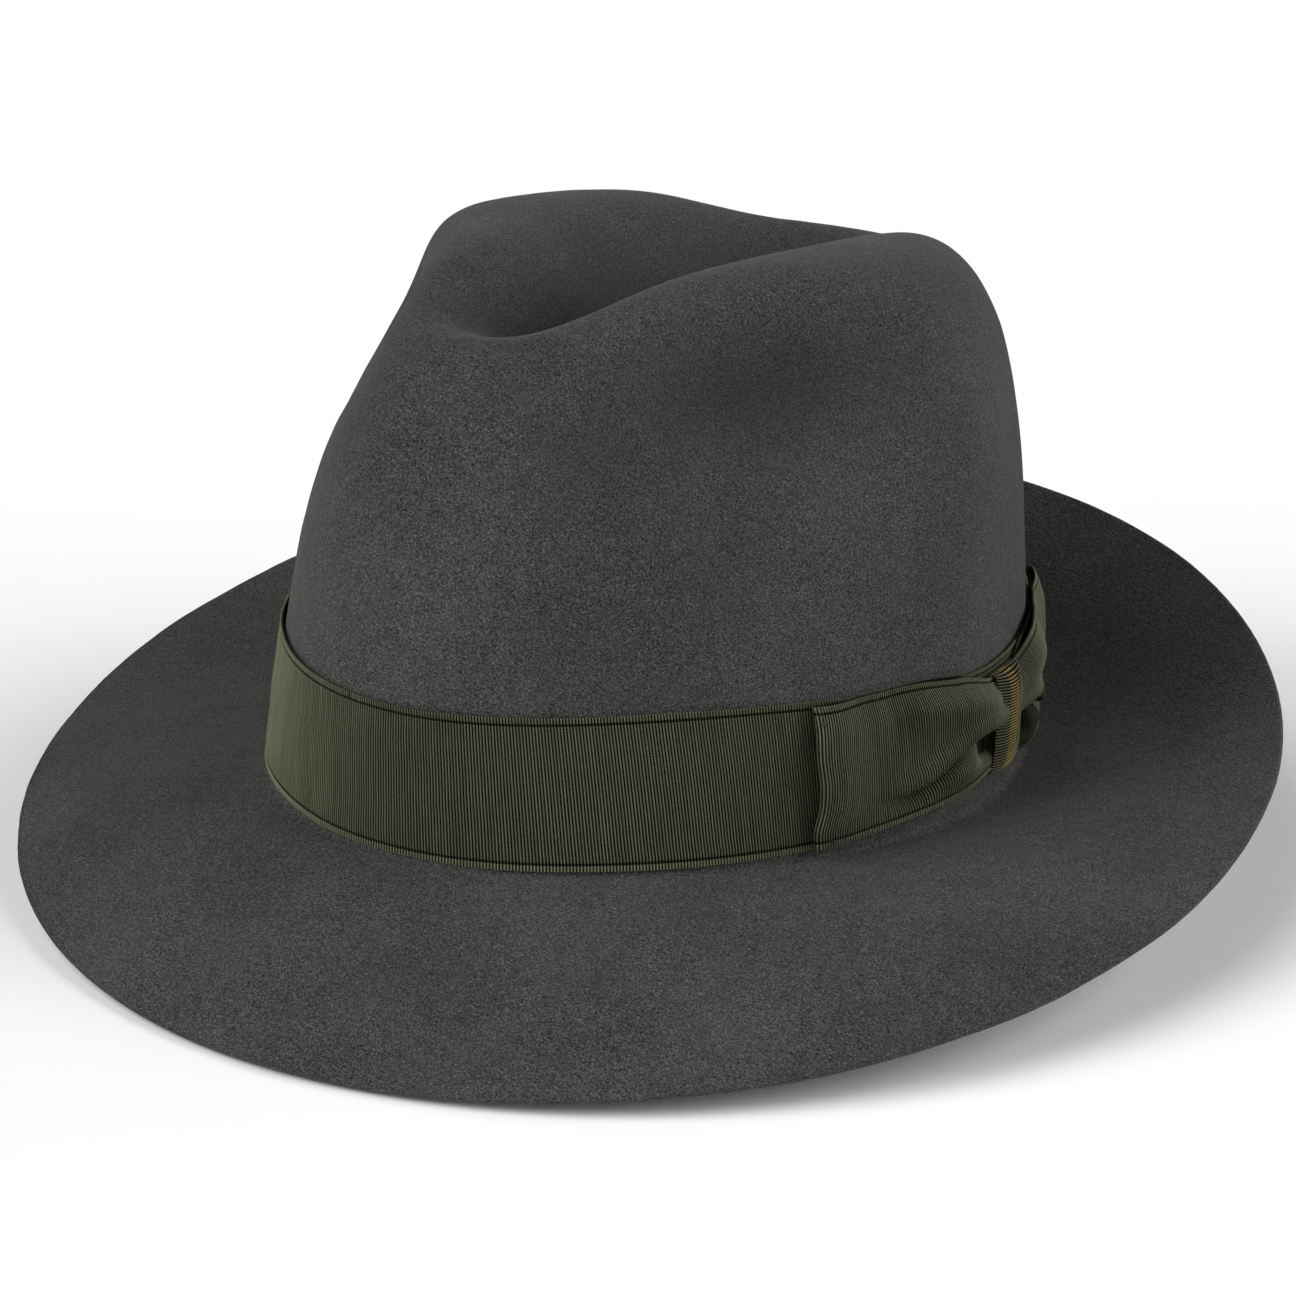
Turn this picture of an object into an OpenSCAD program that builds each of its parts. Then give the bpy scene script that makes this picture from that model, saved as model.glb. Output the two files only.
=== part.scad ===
// Fedora hat: one felt body (crown and brim in one piece) with a pinched, centre-creased crown,
// a grosgrain band with a flat bow, and a sewn-in leather sweatband and lining.
// Frame: millimetres, +Z up, origin at the centre of the head opening on the brim break,
// front of the hat towards -Y, wearer's left (bow side) towards +X.

/* [Head opening] */
// Half width of the felt at the brim break
half_w = 86.1; // [80:0.1:90]
// Half length of the felt at the brim break
half_l = 105.2; // [98:0.1:110]
// How much wider the back of the oval is than the front
egg = 0.026; // [0:0.001:0.05]
// Rise of the break line at front and back, and dip at the sides
break_dip = 4.4; // [0:0.1:5]
// Fall of the break line towards the back corners
break_twist = 2.5; // [0:0.1:4]
// How much higher the break line is at the front than at the back, halved
break_lean = 0.4; // [0:0.1:2]

/* [Crown] */
// Height of the crown above the break at its middle, before creasing
crown_h = 125.6; // [118:0.1:130]
// Rise of the crown towards the front
crown_rise = 5; // [0:0.1:8]
// Squareness of the crown profile at the front
square_front = 4.6; // [3.5:0.1:6]
// Squareness of the crown profile at the sides
square_side = 7.7; // [5:0.1:9]
// Squareness of the crown profile at the back
square_back = 7.7; // [5:0.1:9]
// Share of the width lost to taper by the top, at the front
taper_front = 0.085; // [0.05:0.005:0.2]
// Share of the width lost to taper by the top, at the sides
taper_side = 0.13; // [0.05:0.002:0.15]
// Share of the width lost to taper by the top, at the back
taper_back = 0.108; // [0.05:0.002:0.18]
// How late the taper starts, 1 for a straight cone
taper_power = 2.3; // [1:0.1:3]
// Share by which the front of the crown narrows, like a ship's bow
front_narrow = 0.47; // [0:0.01:0.5]
// How late that narrowing starts
narrow_power = 1.24; // [1:0.01:2]

/* [Crease and pinches] */
// Depth of the centre crease
crease_d = 25; // [10:0.5:30]
// Half width of the centre crease
crease_w = 21.5; // [16:0.5:26]
// How much deeper the crease is at the front
crease_slope = 0.17; // [0:0.01:0.3]
// How much wider the crease is at the back
crease_flare = 0.21; // [0:0.01:0.3]
// Where the crease ends, ahead of the centre
crease_front = 88; // [80:1:95]
// Where the crease ends, behind the centre
crease_back = 95; // [80:1:98]
// Length over which the crease fades out at the front
fade_front = 52; // [40:1:65]
// Length over which the crease fades out at the back
fade_back = 40; // [30:1:60]
// Depth of each side pinch
pinch_d = 11.6; // [6:0.2:16]
// Distance of the pinches ahead of the centre
pinch_y = 35; // [20:1:50]
// Height of the pinches
pinch_z = 105; // [92:1:106]
// Half length of each pinch along the hat
pinch_l = 32.5; // [25:0.5:40]
// Half height of each pinch
pinch_h = 18; // [14:0.5:26]

/* [Brim] */
// Width of the brim, measured flat
brim_w = 59; // [50:0.5:70]
// How much wider the brim is at the front than at the back
brim_ahead = 2.4; // [0:0.1:4]
// How much wider the brim is at the sides than at front and back
brim_side = 8.3; // [0:0.1:9]
// How far the edge drops all round
edge_drop = 0.6; // [0:0.1:6]
// How far the front edge snaps down and the back edge turns up
snap = 28.7; // [10:0.1:30]
// How much lower the edge is at the sides than at front and back
side_dip = 2.4; // [0:0.1:6]
// Curve of the brim from the break to the edge, 1 for a straight cone
brim_curve = 1.7; // [1.2:0.1:2.4]
// Thickness of the felt
felt_t = 1.8; // [1.4:0.1:2.2]
// Radius of the brim break
break_r = 2; // [1.5:0.1:3]

/* [Band and bow] */
// Width of the grosgrain ribbon
ribbon_w = 35; // [30:0.5:38]
// Thickness of the ribbon
ribbon_t = 0.6; // [0.5:0.05:0.8]
// Height of the band's lower edge above the brim break
band_z = 1.5; // [1.4:0.1:2]
// How far the bow's stitching draws the band's lower edge up
draw_low = 8.2; // [6:0.2:9]
// How far the bow's stitching draws the band's upper edge down
draw_high = 0.8; // [0.4:0.2:1.6]
// Length over which the band is drawn in, along each side of the knot
draw_l = 48; // [30:1:60]
// Bearing of the bow's knot, 0 at the wearer's left and 90 at the back
bow_at = 10; // [0:1:20]
// Arc length of each bow loop from the knot's centre
loop_len = 68; // [50:1:70]
// Height of a loop's fold off the band
loop_rise = 3.2; // [2.6:0.1:4]
// How far a loop's upper edge stands above the band's, part way along
loop_lift = 1.5; // [0:0.1:2]
// Width of the knot along the band
knot_w = 14; // [10:0.5:18]
// Length of the knot across the band
knot_l = 24; // [24:0.5:27]

/* [Sweatband and lining] */
// Height of the leather sweatband above the break
sweat_h = 50; // [40:1:55]
// Thickness of the leather
sweat_t = 1.1; // [0.9:0.1:1.2]
// Radius of the reed in the sweatband's lower edge
reed_r = 0.9; // [0.7:0.1:1]
// Number of stitches along the sweatband
stitches = 120; // [60:6:180]
// Thickness of the satin lining
lining_t = 0.4; // [0.3:0.05:0.4]
// Where the lining's tip is sewn to its side, as a share of the crown's profile
tip_seam = 0.62; // [0.55:0.01:0.7]

/* [Hidden] */

n_around = 72;                 // steps around the hat
step = 360/n_around;
clear = 0.2;                   // gap between two layers that lie together
felt_c = "#474644"; ribbon_c = "#3b3b2c"; leather_c = "#4a2f20"; lining_c = "#2a2523";
thread_c = "#2c2b22"; gold_c = "#8a7a45";

// depth of each inner layer, measured inwards from the felt's outer face
lining_out = felt_t + clear + 0.25;
lining_in = lining_out + lining_t;
sweat_out = lining_in + clear + 0.1;
sweat_in = sweat_out + sweat_t;

// rings of the crown, from the brim break to the crest and in to the centre
wall_s = [0.12, 0.24, 0.36, 0.48, 0.6, 0.7, 0.78, 0.84, 0.89, 0.93];
top_c = [0.78, 0.7, 0.62, 0.54, 0.46, 0.38, 0.3, 0.22, 0.14, 0.07];
wall_u = [for (s = wall_s) asin(pow(s, 3))/90];
top_u = [for (c = top_c) acos(pow(c, 3))/90];
crown_u = concat(wall_u, top_u);
brim_v = [0.1, 0.22, 0.36, 0.52, 0.68, 0.84, 1];

function smooth(t) = let (c = min(max(t, 0), 1)) c*c*(3 - 2*c);
function unit(v) = v/norm(v);
function tanh(t) = 1 - 2/(exp(2*t) + 1);
function sq(t) = t*t;

// height of the brim break at bearing a
function break_z(a) = -break_lean*sin(a) - break_dip*cos(2*a) - break_twist*sin(3*a);
// squareness and taper of the crown's profile at bearing a
function share(a, front, side, back) =
  front*sq(max(-sin(a), 0)) + back*sq(max(sin(a), 0)) + side*sq(cos(a));
function square(a) = share(a, square_front, square_side, square_back);

// a point of the crown's outer face: s is its height and c its reach, both as shares
function crown_sc(a, s, c) = let (
    taper = share(a, taper_front, taper_side, taper_back),
    reach = c*(1 - taper*pow(s, taper_power)),
    narrow = 1 - front_narrow*pow(s, narrow_power)*smooth(s/0.06)*smooth(0.15 - 0.9*sin(a)),
    x = half_w*(1 + egg*sin(a))*cos(a)*reach*narrow,
    y = half_l*sin(a)*reach,
    w = crease_w*(1 + crease_flare*y/half_l),
    d = crease_d*(1 - crease_slope*y/half_l)
      * smooth((y + crease_front)/fade_front)*smooth((crease_back - y)/fade_back),
    z = (crown_h - crown_rise*y/half_l)*s + break_z(a)*(1 - s)
      - d*exp(-pow(abs(x)/w, 2.2))*smooth((s - 0.5)/0.45),
    p = y + pinch_y,
    q = sq(p/pinch_l) + sq((z - pinch_z - 0.11*p)/pinch_h)
  ) [x - tanh(x/17.5)*pinch_d*exp(-q), y, z];
function crown_at(a, u) = let (m = 2/square(a)) crown_sc(a, pow(sin(90*u), m), pow(cos(90*u), m));
function crown_n(a, u) = let (e = min(0.004, u, 1 - u))
  unit(cross(crown_at(a + 0.5, u) - crown_at(a - 0.5, u), crown_at(a, u + e) - crown_at(a, u - e)));
// a point on the crown's wall, h above the break and off outwards from the felt
function wall_s0(a, h) = h/(crown_h - crown_rise*sin(a) - break_z(a));
function wall_c(a, h) = let (s = max(wall_s0(a, h), 0), n = square(a))
  crown_sc(a, s, pow(1 - pow(s, n), 1/n));
function wall_n(a, h) =
  unit(cross(wall_c(a + 0.5, h) - wall_c(a - 0.5, h), wall_c(a, h + 1) - wall_c(a, max(h - 1, 0))));
function wall(a, h, off) = wall_c(a, h) + off*wall_n(a, h);
// a point near the break: out from the break line, and up from it
function break_p(a) = [half_w*(1 + egg*sin(a))*cos(a), half_l*sin(a), break_z(a)];
function break_n(a) = unit([cos(a)/half_w, sin(a)/half_l, 0]);
function low(a, h, off) = break_p(a) + off*break_n(a) + [0, 0, h];
// a point of the brim's upper face, v from 0 at the break to 1 at the edge
function brim_at(a, v) = let (
    w = brim_w - brim_ahead*sin(a) + brim_side*cos(2*a),
    e = snap*sin(a) - edge_drop - side_dip*cos(2*a)
  ) [break_p(a)[0], break_p(a)[1], 0] + break_n(a)*w*v
    + [0, 0, break_z(a)*(1 - v) + e*pow(v, brim_curve)];
function brim_n(a, v) = unit(cross(
    brim_at(a, min(v + 0.01, 1)) - brim_at(a, v - 0.01), brim_at(a + 0.5, v) - brim_at(a - 0.5, v)));

// the felt, in rings of [point, outward direction] from the centre out to the brim's edge
function felt_ring(k, a) = let (nc = len(crown_u))
  k < nc ? let (u = crown_u[nc - 1 - k]) [crown_at(a, u), crown_n(a, u)]
  : k < nc + 4 ? let (f = 30*(k - nc), o = break_n(a))
      [low(a, break_r*(1 - sin(f)), break_r*(1 - cos(f))), cos(f)*o + [0, 0, sin(f)]]
  : let (v = brim_v[k - nc - 4]) [brim_at(a, v), brim_n(a, v)];
felt_rings = len(crown_u) + 4 + len(brim_v);
function offset_ring(k, d) = [for (i = [0:n_around - 1])
  let (r = felt_ring(k, i*step)) r[0] - d*r[1]];
function edge_ring(d, out) = [for (i = [0:n_around - 1])
  let (r = felt_ring(felt_rings - 1, i*step)) r[0] - d*r[1] + out*break_n(i*step)];

// a closed shell from a list of rings, with a point closing each end
module shell(rings, first, last) {
  n = len(rings[0]);
  m = len(rings);
  polyhedron(concat([for (r = rings) for (p = r) p], [first, last]), concat(
    [for (j = [0:m - 2]) for (i = [0:n - 1]) let (b = j*n, k = (i + 1)%n) [b + i, b + k, b + n + k]],
    [for (j = [0:m - 2]) for (i = [0:n - 1]) let (b = j*n, k = (i + 1)%n) [b + i, b + n + k, b + n + i]],
    [for (i = [0:n - 1]) [m*n, (i + 1)%n, i]],
    [for (i = [0:n - 1]) [m*n + 1, (m - 1)*n + i, (m - 1)*n + (i + 1)%n]]), 4);
}

// a strip from a list of sections, each going up one face and down the other;
// closed joins the last section to the first, otherwise both ends are capped
module strip(sections, closed) {
  k = len(sections[0]);
  m = len(sections);
  ends = closed ? m : m - 1;
  r = k/2 - 1;
  polyhedron([for (s = sections) for (p = s) p], concat(
    [for (i = [0:ends - 1]) for (j = [0:k - 1])
      let (b = i*k, e = ((i + 1)%m)*k, t = (j + 1)%k) [b + j, b + t, e + t]],
    [for (i = [0:ends - 1]) for (j = [0:k - 1])
      let (b = i*k, e = ((i + 1)%m)*k, t = (j + 1)%k) [b + j, e + t, e + j]],
    closed ? [] : [for (j = [0:r - 1]) for (t = [0, 1]) t == 0
      ? [k - 1 - j, k - 2 - j, j + 1] : [k - 1 - j, j + 1, j]],
    closed ? [] : [for (j = [0:r - 1]) for (t = [0, 1]) let (e = (m - 1)*k) t == 0
      ? [e + j, e + j + 1, e + k - 2 - j] : [e + j, e + k - 2 - j, e + k - 1 - j]]), 4);
}
// bearings of a strip that starts and ends beside a seam
function bearings(at, gap) = concat([at + gap],
  [for (i = [1:n_around - 1]) (floor(at/step) + i)*step + (floor(at/step)*step == at ? 0 : step*0)],
  [at + 360 - gap]);
function wall_section(a, hs, near, far) = concat([for (h = hs) wall(a, h, far)],
  [for (i = [len(hs) - 1:-1:0]) wall(a, hs[i], near)]);

module felt_body() {
  color(felt_c) shell(concat(
    [for (k = [0:felt_rings - 1]) offset_ring(k, 0)],
    [edge_ring(felt_t/2, 0.4)],
    [for (k = [felt_rings - 1:-1:0]) offset_ring(k, felt_t)]),
    crown_at(0, 1), crown_at(0, 1) - [0, 0, felt_t]);
}

// the ribbon's lower and upper edges, d mm along the band from the knot
function ribbon_lo(d) = band_z + draw_low*exp(-sq(d/draw_l));
function ribbon_hi(d) = band_z + ribbon_w - draw_high*exp(-sq(d/draw_l));
mm_per_deg = norm(wall(bow_at + 1, 18, 0) - wall(bow_at - 1, 18, 0))/2;
function from_bow(a) = let (d = (a - bow_at + 540)%360 - 180) d*mm_per_deg;

// the band goes once round and its two ends meet under the knot
module hat_band() {
  sec = function (a) let (lo = ribbon_lo(from_bow(a)), hi = ribbon_hi(from_bow(a)))
    wall_section(a, [for (i = [0:3]) lo + (hi - lo)*i/3], clear, clear + ribbon_t);
  color(ribbon_c) strip([for (a = bearings(10, 0.15)) sec(a)], false);
}

// a bow loop: ribbon that runs out from the knot, folds at the end and comes back underneath.
// Its route is in millimetres along the band and off it; dir is -1 to the front, 1 to the back.
function loop_route() = let (r = (loop_rise - ribbon_t)/2, c = 1.15 + ribbon_t/2 + r)
  concat([for (i = [0:6]) let (t = i/6) [4 + (loop_len - r - 4)*t, c + r + 0.7*sin(180*t) - 0.1*(1 - t)]],
    [for (f = [-60:30:60]) [loop_len - r + r*cos(f), c - r*sin(f)]],
    [for (i = [6:-1:0]) let (t = i/6) [4 + (loop_len - r - 4)*t, c - r + 0.9*smooth(1.2 - 2*t)]]);
module loop(dir) {
  route = loop_route();
  m = len(route);
  rows = 4;
  sections = [for (i = [0:m - 1]) let (
      d = unit(route[min(i + 1, m - 1)] - route[max(i - 1, 0)]), n = [d[1], -d[0]]*ribbon_t/2,
      x = route[i][0], tight = 1 - smooth((x - 5)/12), lo = ribbon_lo(x) + 0.4 + 4.6*tight,
      hi = ribbon_hi(x) - 0.25 + loop_lift*exp(-sq((x - 32)/16)) - 6.2*tight)
    concat(
      [for (j = [0:rows]) loop_p(route[i] - n, lo + (hi - lo)*j/rows, dir)],
      [for (j = [rows:-1:0]) loop_p(route[i] + n, lo + (hi - lo)*j/rows, dir)])];
  strip(dir > 0 ? sections : [for (i = [m - 1:-1:0]) sections[i]], false);
}
function loop_p(rp, h, dir) = wall(bow_at + dir*rp[0]/mm_per_deg, h, rp[1]);
module bow_front_loop() { color(ribbon_c) loop(-1); }
module bow_back_loop() { color(ribbon_c) loop(1); }

// the knot: a short ribbon wrapped once round the middle of the bow, over the band
function knot_section(t, grow) = let (
    mid = (ribbon_lo(0) + ribbon_hi(0))/2 - 0.8, a = knot_l/2 - 1.3 + grow, b = 1.75 + grow)
  [for (f = [0:20:340]) let (c = cos(f), s = sin(f))
    wall(bow_at + t*knot_w/2/mm_per_deg, mid + a*sign(c)*pow(abs(c), 0.4),
      0.95 + ribbon_t + 1.75 + b*sign(s)*pow(abs(s), 0.55))];
module bow_knot() {
  ts = [-1, -0.5, 0, 0.5, 1];
  outer = [for (t = ts) knot_section(t, ribbon_t)];
  inner = [for (t = ts) knot_section(t, 0)];
  rings = concat(outer, [for (i = [4:-1:0]) inner[i]]);
  n = len(rings[0]);
  m = len(rings);
  color(ribbon_c) polyhedron([for (r = rings) for (p = r) p], concat(
    [for (j = [0:m - 1]) for (i = [0:n - 1])
      let (b = j*n, e = ((j + 1)%m)*n, k = (i + 1)%n) [b + i, e + k, b + k]],
    [for (j = [0:m - 1]) for (i = [0:n - 1])
      let (b = j*n, e = ((j + 1)%m)*n, k = (i + 1)%n) [b + i, e + i, e + k]]), 4);
}

// a small part set against the wall: x along the band, y off it and z up
module on_wall(a, h, off) {
  n = wall_n(a, h);
  translate(wall(a, h, off)) rotate([0, 0, atan2(n[1], n[0]) - 90]) children();
}
// thread tacks that hold the loops' corners to the band
module bow_tacks() {
  color(thread_c) for (dir = [-1, 1], h = [band_z + 3.4, band_z + ribbon_w - 4.4])
    on_wall(bow_at + dir*(loop_len - 3.5)/mm_per_deg, h, 1.15 + loop_rise + 0.85)
      translate([-0.8, 0, -0.25]) cube([1.6, 0.3, 0.5]);
}
// thread tacks that hold the band's top edge to the felt
module band_tacks() {
  color(thread_c) for (a = [100, 180, 262, 318])
    on_wall(a, band_z + ribbon_w - 1.2, clear + ribbon_t + 0.05)
      translate([-0.2, 0, -0.7]) cube([0.4, 0.25, 1.4]);
}

// the leather sweatband stands inside the crown, its ends meeting at the back
module sweatband() {
  hs = [for (i = [0:4]) 2.5 + (sweat_h - 2.5)*i/4];
  sec = function (a) concat([low(a, 0.2, -sweat_out)], [for (h = hs) wall(a, h, -sweat_out)],
    [for (i = [4:-1:0]) wall(a, hs[i], -sweat_in)], [low(a, 0.2, -sweat_in)]);
  color(leather_c) strip([for (a = bearings(90, 0.4)) sec(a)], false);
}
// the strip sewn over the sweatband's back seam
module sweatband_seam() {
  hs = [for (i = [0:4]) 4.5 + (sweat_h - 6)*i/4];
  color(leather_c) strip([for (a = [87.6, 90, 92.4])
    wall_section(a, hs, -sweat_in - 0.7, -sweat_in - 0.15)], false);
}
// a small flat ribbon bow at the foot of that seam
module sweatband_bow() {
  color(ribbon_c) on_wall(90, 12, -sweat_in - 2.2) rotate([90, 0, 0]) linear_extrude(1.2) {
    polygon([[-13, 3.6], [-11, 4.2], [-2, 1.6], [-2, -1.6], [-11, -4.2], [-13, -3.6]]);
    polygon([[13, 3.6], [11, 4.2], [2, 1.6], [2, -1.6], [11, -4.2], [13, -3.6]]);
    translate([-2.4, -2.4]) square(4.8);
  }
}
// one row of stitches along the leather's lower edge
module sweatband_stitches() {
  color(thread_c) for (i = [0:stitches - 1]) let (a = 90 + 3.4 + (360 - 6.8)*i/(stitches - 1))
    on_wall(a, 3.2, -sweat_in - 0.17) translate([-1.2, -0.35, -0.25]) cube([2.4, 0.35, 0.5]);
}
// the reed, a thin rod that keeps the sweatband's edge in an oval
reed_d = sweat_out + 0.5;
reed_z = -1.7;
function round_section(a, d, z, r, n) = [for (i = [0:n - 1]) let (f = i*360/n)
  low(a, z + r*sin(f), -d + r*cos(f))];
module sweatband_reed() {
  color("#6b6a66") strip([for (i = [0:n_around - 1])
    round_section(i*step, reed_d, reed_z, reed_r, 6)], true);
}
// the woven tape that wraps the reed and is sewn up behind the leather
module reed_tape() {
  near = reed_r + 0.12;
  far = near + 0.3;
  turn = [-20, -70, -125, -180, -240];
  sec = function (a) concat(
    [wall(a, 5, 0.1 - lining_out)],
    [low(a, 0.4, 0) - (lining_out - 0.1)*break_n(a)],
    [for (f = turn) low(a, reed_z + far*sin(f + 50), -reed_d + far*cos(f + 50))],
    [for (i = [4:-1:0]) let (f = turn[i] + 50) low(a, reed_z + near*sin(f), -reed_d + near*cos(f))],
    [low(a, 0.4, 0) - (lining_out + 0.2)*break_n(a)],
    [wall(a, 5, -lining_out - 0.2)]);
  color("#3a3832") strip([for (i = [0:n_around - 1])
    let (s = sec(i*step)) [for (j = [len(s) - 1:-1:0]) s[j]]], true);
}

// the lining: a side piece that follows the crown and an oval tip, with piping in the seam
function lining_u(u0, u1) = [for (u = crown_u) if (u > u0 && u < u1) u];
function in_crown(a, u, d) = crown_at(a, u) - d*crown_n(a, u);
module lining_side() {
  us = concat(lining_u(0.1, tip_seam - 0.02), [tip_seam]);
  hs = [8, 18, 29, 40, 51];
  sec = function (a) concat([for (h = hs) wall(a, h, -lining_out)],
    [for (u = us) in_crown(a, u, lining_out)],
    [for (i = [len(us) - 1:-1:0]) in_crown(a, us[i], lining_in)],
    [for (i = [4:-1:0]) wall(a, hs[i], -lining_in)]);
  color(lining_c) strip([for (i = [0:n_around - 1]) sec(i*step)], true);
}
module lining_tip() {
  us = concat([tip_seam + 0.012], lining_u(tip_seam + 0.03, 1));
  m = len(us);
  color(lining_c) shell(concat(
    [for (j = [m - 1:-1:0]) [for (i = [0:n_around - 1]) in_crown(i*step, us[j], lining_out + 0.1)]],
    [for (j = [0:m - 1]) [for (i = [0:n_around - 1]) in_crown(i*step, us[j], lining_in + 0.1)]]),
    crown_at(0, 1) - [0, 0, lining_out + 0.1], crown_at(0, 1) - [0, 0, lining_in + 0.1]);
}
module lining_piping() {
  r = 0.7;
  color(gold_c) strip([for (i = [0:n_around - 1]) let (
      a = i*step, u = tip_seam + 0.006, n = crown_n(a, u),
      p = crown_at(a, u) - (lining_in + 0.25 + r)*n,
      t = unit(crown_at(a, u + 0.01) - crown_at(a, u)))
    [for (f = [0:72:288]) p + r*(cos(f)*n + sin(f)*t)]], true);
}

felt_body();
hat_band();
bow_front_loop();
bow_back_loop();
bow_knot();
bow_tacks();
band_tacks();
sweatband();
sweatband_seam();
sweatband_bow();
sweatband_stitches();
sweatband_reed();
reed_tape();
lining_side();
lining_tip();
lining_piping();
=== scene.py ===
import math
import bmesh
import bpy
import numpy as np
from mathutils import Matrix, Vector


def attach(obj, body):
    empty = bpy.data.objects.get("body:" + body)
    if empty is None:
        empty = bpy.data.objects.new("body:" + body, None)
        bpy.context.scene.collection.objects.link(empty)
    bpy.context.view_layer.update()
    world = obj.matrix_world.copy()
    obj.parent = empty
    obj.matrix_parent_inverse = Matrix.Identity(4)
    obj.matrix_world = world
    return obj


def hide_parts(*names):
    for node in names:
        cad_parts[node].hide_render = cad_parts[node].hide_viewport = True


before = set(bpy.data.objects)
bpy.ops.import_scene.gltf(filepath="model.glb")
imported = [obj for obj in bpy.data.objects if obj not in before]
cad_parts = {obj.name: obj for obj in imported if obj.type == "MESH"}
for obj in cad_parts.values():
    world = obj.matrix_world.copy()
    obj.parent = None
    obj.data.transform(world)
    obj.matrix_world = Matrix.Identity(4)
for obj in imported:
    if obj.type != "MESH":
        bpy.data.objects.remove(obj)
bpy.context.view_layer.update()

D = math.pi / 180  # one degree

# ---------------------------------------------------------------- driving sizes in mm, as in the CAD
HALF_W, HALF_L, EGG = 86.1, 105.2, 0.026
BREAK_LEAN, BREAK_DIP, BREAK_TWIST = 0.4, 4.4, 2.5
CROWN_H, CROWN_RISE = 125.6, 5.0
SQUARE = (4.6, 7.7, 7.7)       # front, side, back
TAPER = (0.085, 0.13, 0.108)
TAPER_POWER, NARROW, NARROW_POWER = 2.3, 0.47, 1.24
CREASE_D, CREASE_W, CREASE_SLOPE, CREASE_FLARE = 25.0, 21.5, 0.17, 0.21
CREASE_F, CREASE_B, FADE_F, FADE_B = 88.0, 95.0, 52.0, 40.0
PINCH_D, PINCH_Y, PINCH_Z, PINCH_L, PINCH_H = 11.6, 35.0, 105.0, 32.5, 18.0
BRIM_W, BRIM_AHEAD, BRIM_SIDE = 59.0, 2.4, 8.3
EDGE_DROP, SNAP, SIDE_DIP, BRIM_CURVE = 0.6, 28.7, 2.4, 1.7
FELT_T, BREAK_R = 1.8, 2.0
RIBBON_W, RIBBON_T, BAND_Z, CLEAR = 35.0, 0.6, 1.5, 0.2
DRAW_LOW, DRAW_HIGH, DRAW_L = 8.2, 0.8, 48.0
BOW_AT, LOOP_LEN, LOOP_LIFT, KNOT_W, KNOT_L = 10.0, 68.0, 1.5, 14.0, 24.0
SWEAT_H, SWEAT_T, REED_R, LINING_T, TIP_SEAM = 50.0, 1.1, 0.9, 0.4, 0.62
LINING_OUT = FELT_T + CLEAR + 0.25
LINING_IN = LINING_OUT + LINING_T
SWEAT_OUT = LINING_IN + CLEAR + 0.1
SWEAT_IN = SWEAT_OUT + SWEAT_T

# ---------------------------------------------------------------- sizes that only the fine meshes need
RIB = 0.72           # pitch of the grosgrain's ribs
AROUND = 95.0        # mean radius of the head opening, to turn a bearing into a length of cloth
GIRTH_Z = 18.0       # height at which lengths along the band are measured
BAND_TURN = 610.0    # about the band's length, for the number of ribs round it
FOLD_R = 1.25        # half the distance between a loop's two layers
LOOP_OFF = 1.55      # from the felt to the middle of a loop's inner layer
KNOT_DROP = 0.8      # the knot's middle below the ribbon's middle
KNOT_OFF = 3.15      # from the felt to the middle of the knot's wrap
SEAM_AT = 90.0       # bearing of the sweatband's seam, at the back
SEAM_HALF = 3.4      # degrees to each side of the seam that the stitches leave free
STITCHES = 120       # round the sweatband
STITCH_Z = 3.2       # their height
BOW_Z = 12.0         # height of the small bow's middle
SEAM_R = 76.0        # to turn a length into a bearing near the seam
PIPING_R = 0.75      # the piping's radius
WELD = 1e-6          # points closer than this, in metres, are one


# ---------------------------------------------------------------- the hat's surface
def smooth(t):
    t = np.clip(t, 0, 1)
    return t * t * (3 - 2 * t)


def unit(v):
    return v / np.maximum(np.linalg.norm(v, axis=-1, keepdims=True), 1e-12)


def vec(x, y, z):
    return np.stack(np.broadcast_arrays(x, y, z), -1)


def break_z(a):
    """Height of the line where the crown turns into the brim."""
    return -BREAK_LEAN * np.sin(a) - BREAK_DIP * np.cos(2 * a) - BREAK_TWIST * np.sin(3 * a)


def share(a, k):
    """The value at bearing a, from k = (at the front, at the sides, at the back)."""
    return (k[0] * np.clip(-np.sin(a), 0, 1) ** 2 + k[2] * np.clip(np.sin(a), 0, 1) ** 2
            + k[1] * np.cos(a) ** 2)


def crown_sc(a, s, c):
    """The crown at bearing a, share s of its height and share c of its reach, with crease and pinches."""
    sn, cs = np.sin(a), np.cos(a)
    reach = c * (1 - share(a, TAPER) * s ** TAPER_POWER)
    narrow = 1 - NARROW * s ** NARROW_POWER * smooth(s / 0.06) * smooth(0.15 - 0.9 * sn)
    x = HALF_W * (1 + EGG * sn) * cs * reach * narrow
    y = HALF_L * sn * reach
    w = CREASE_W * (1 + CREASE_FLARE * y / HALF_L)
    d = (CREASE_D * (1 - CREASE_SLOPE * y / HALF_L)
         * smooth((y + CREASE_F) / FADE_F) * smooth((CREASE_B - y) / FADE_B))
    z = ((CROWN_H - CROWN_RISE * y / HALF_L) * s + break_z(a) * (1 - s)
         - d * np.exp(-(np.abs(x) / w) ** 2.2) * smooth((s - 0.5) / 0.45))
    p = y + PINCH_Y
    q = (p / PINCH_L) ** 2 + ((z - PINCH_Z - 0.11 * p) / PINCH_H) ** 2
    return vec(x - np.tanh(x / 17.5) * PINCH_D * np.exp(-q), y, z)


def crown_at(a, u):
    """The crown from its foot (u = 0) over the edge of the top to its middle (u = 1)."""
    m = 2 / share(a, SQUARE)
    return crown_sc(a, np.sin(math.pi / 2 * u) ** m, np.clip(np.cos(math.pi / 2 * u), 0, 1) ** m)


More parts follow.
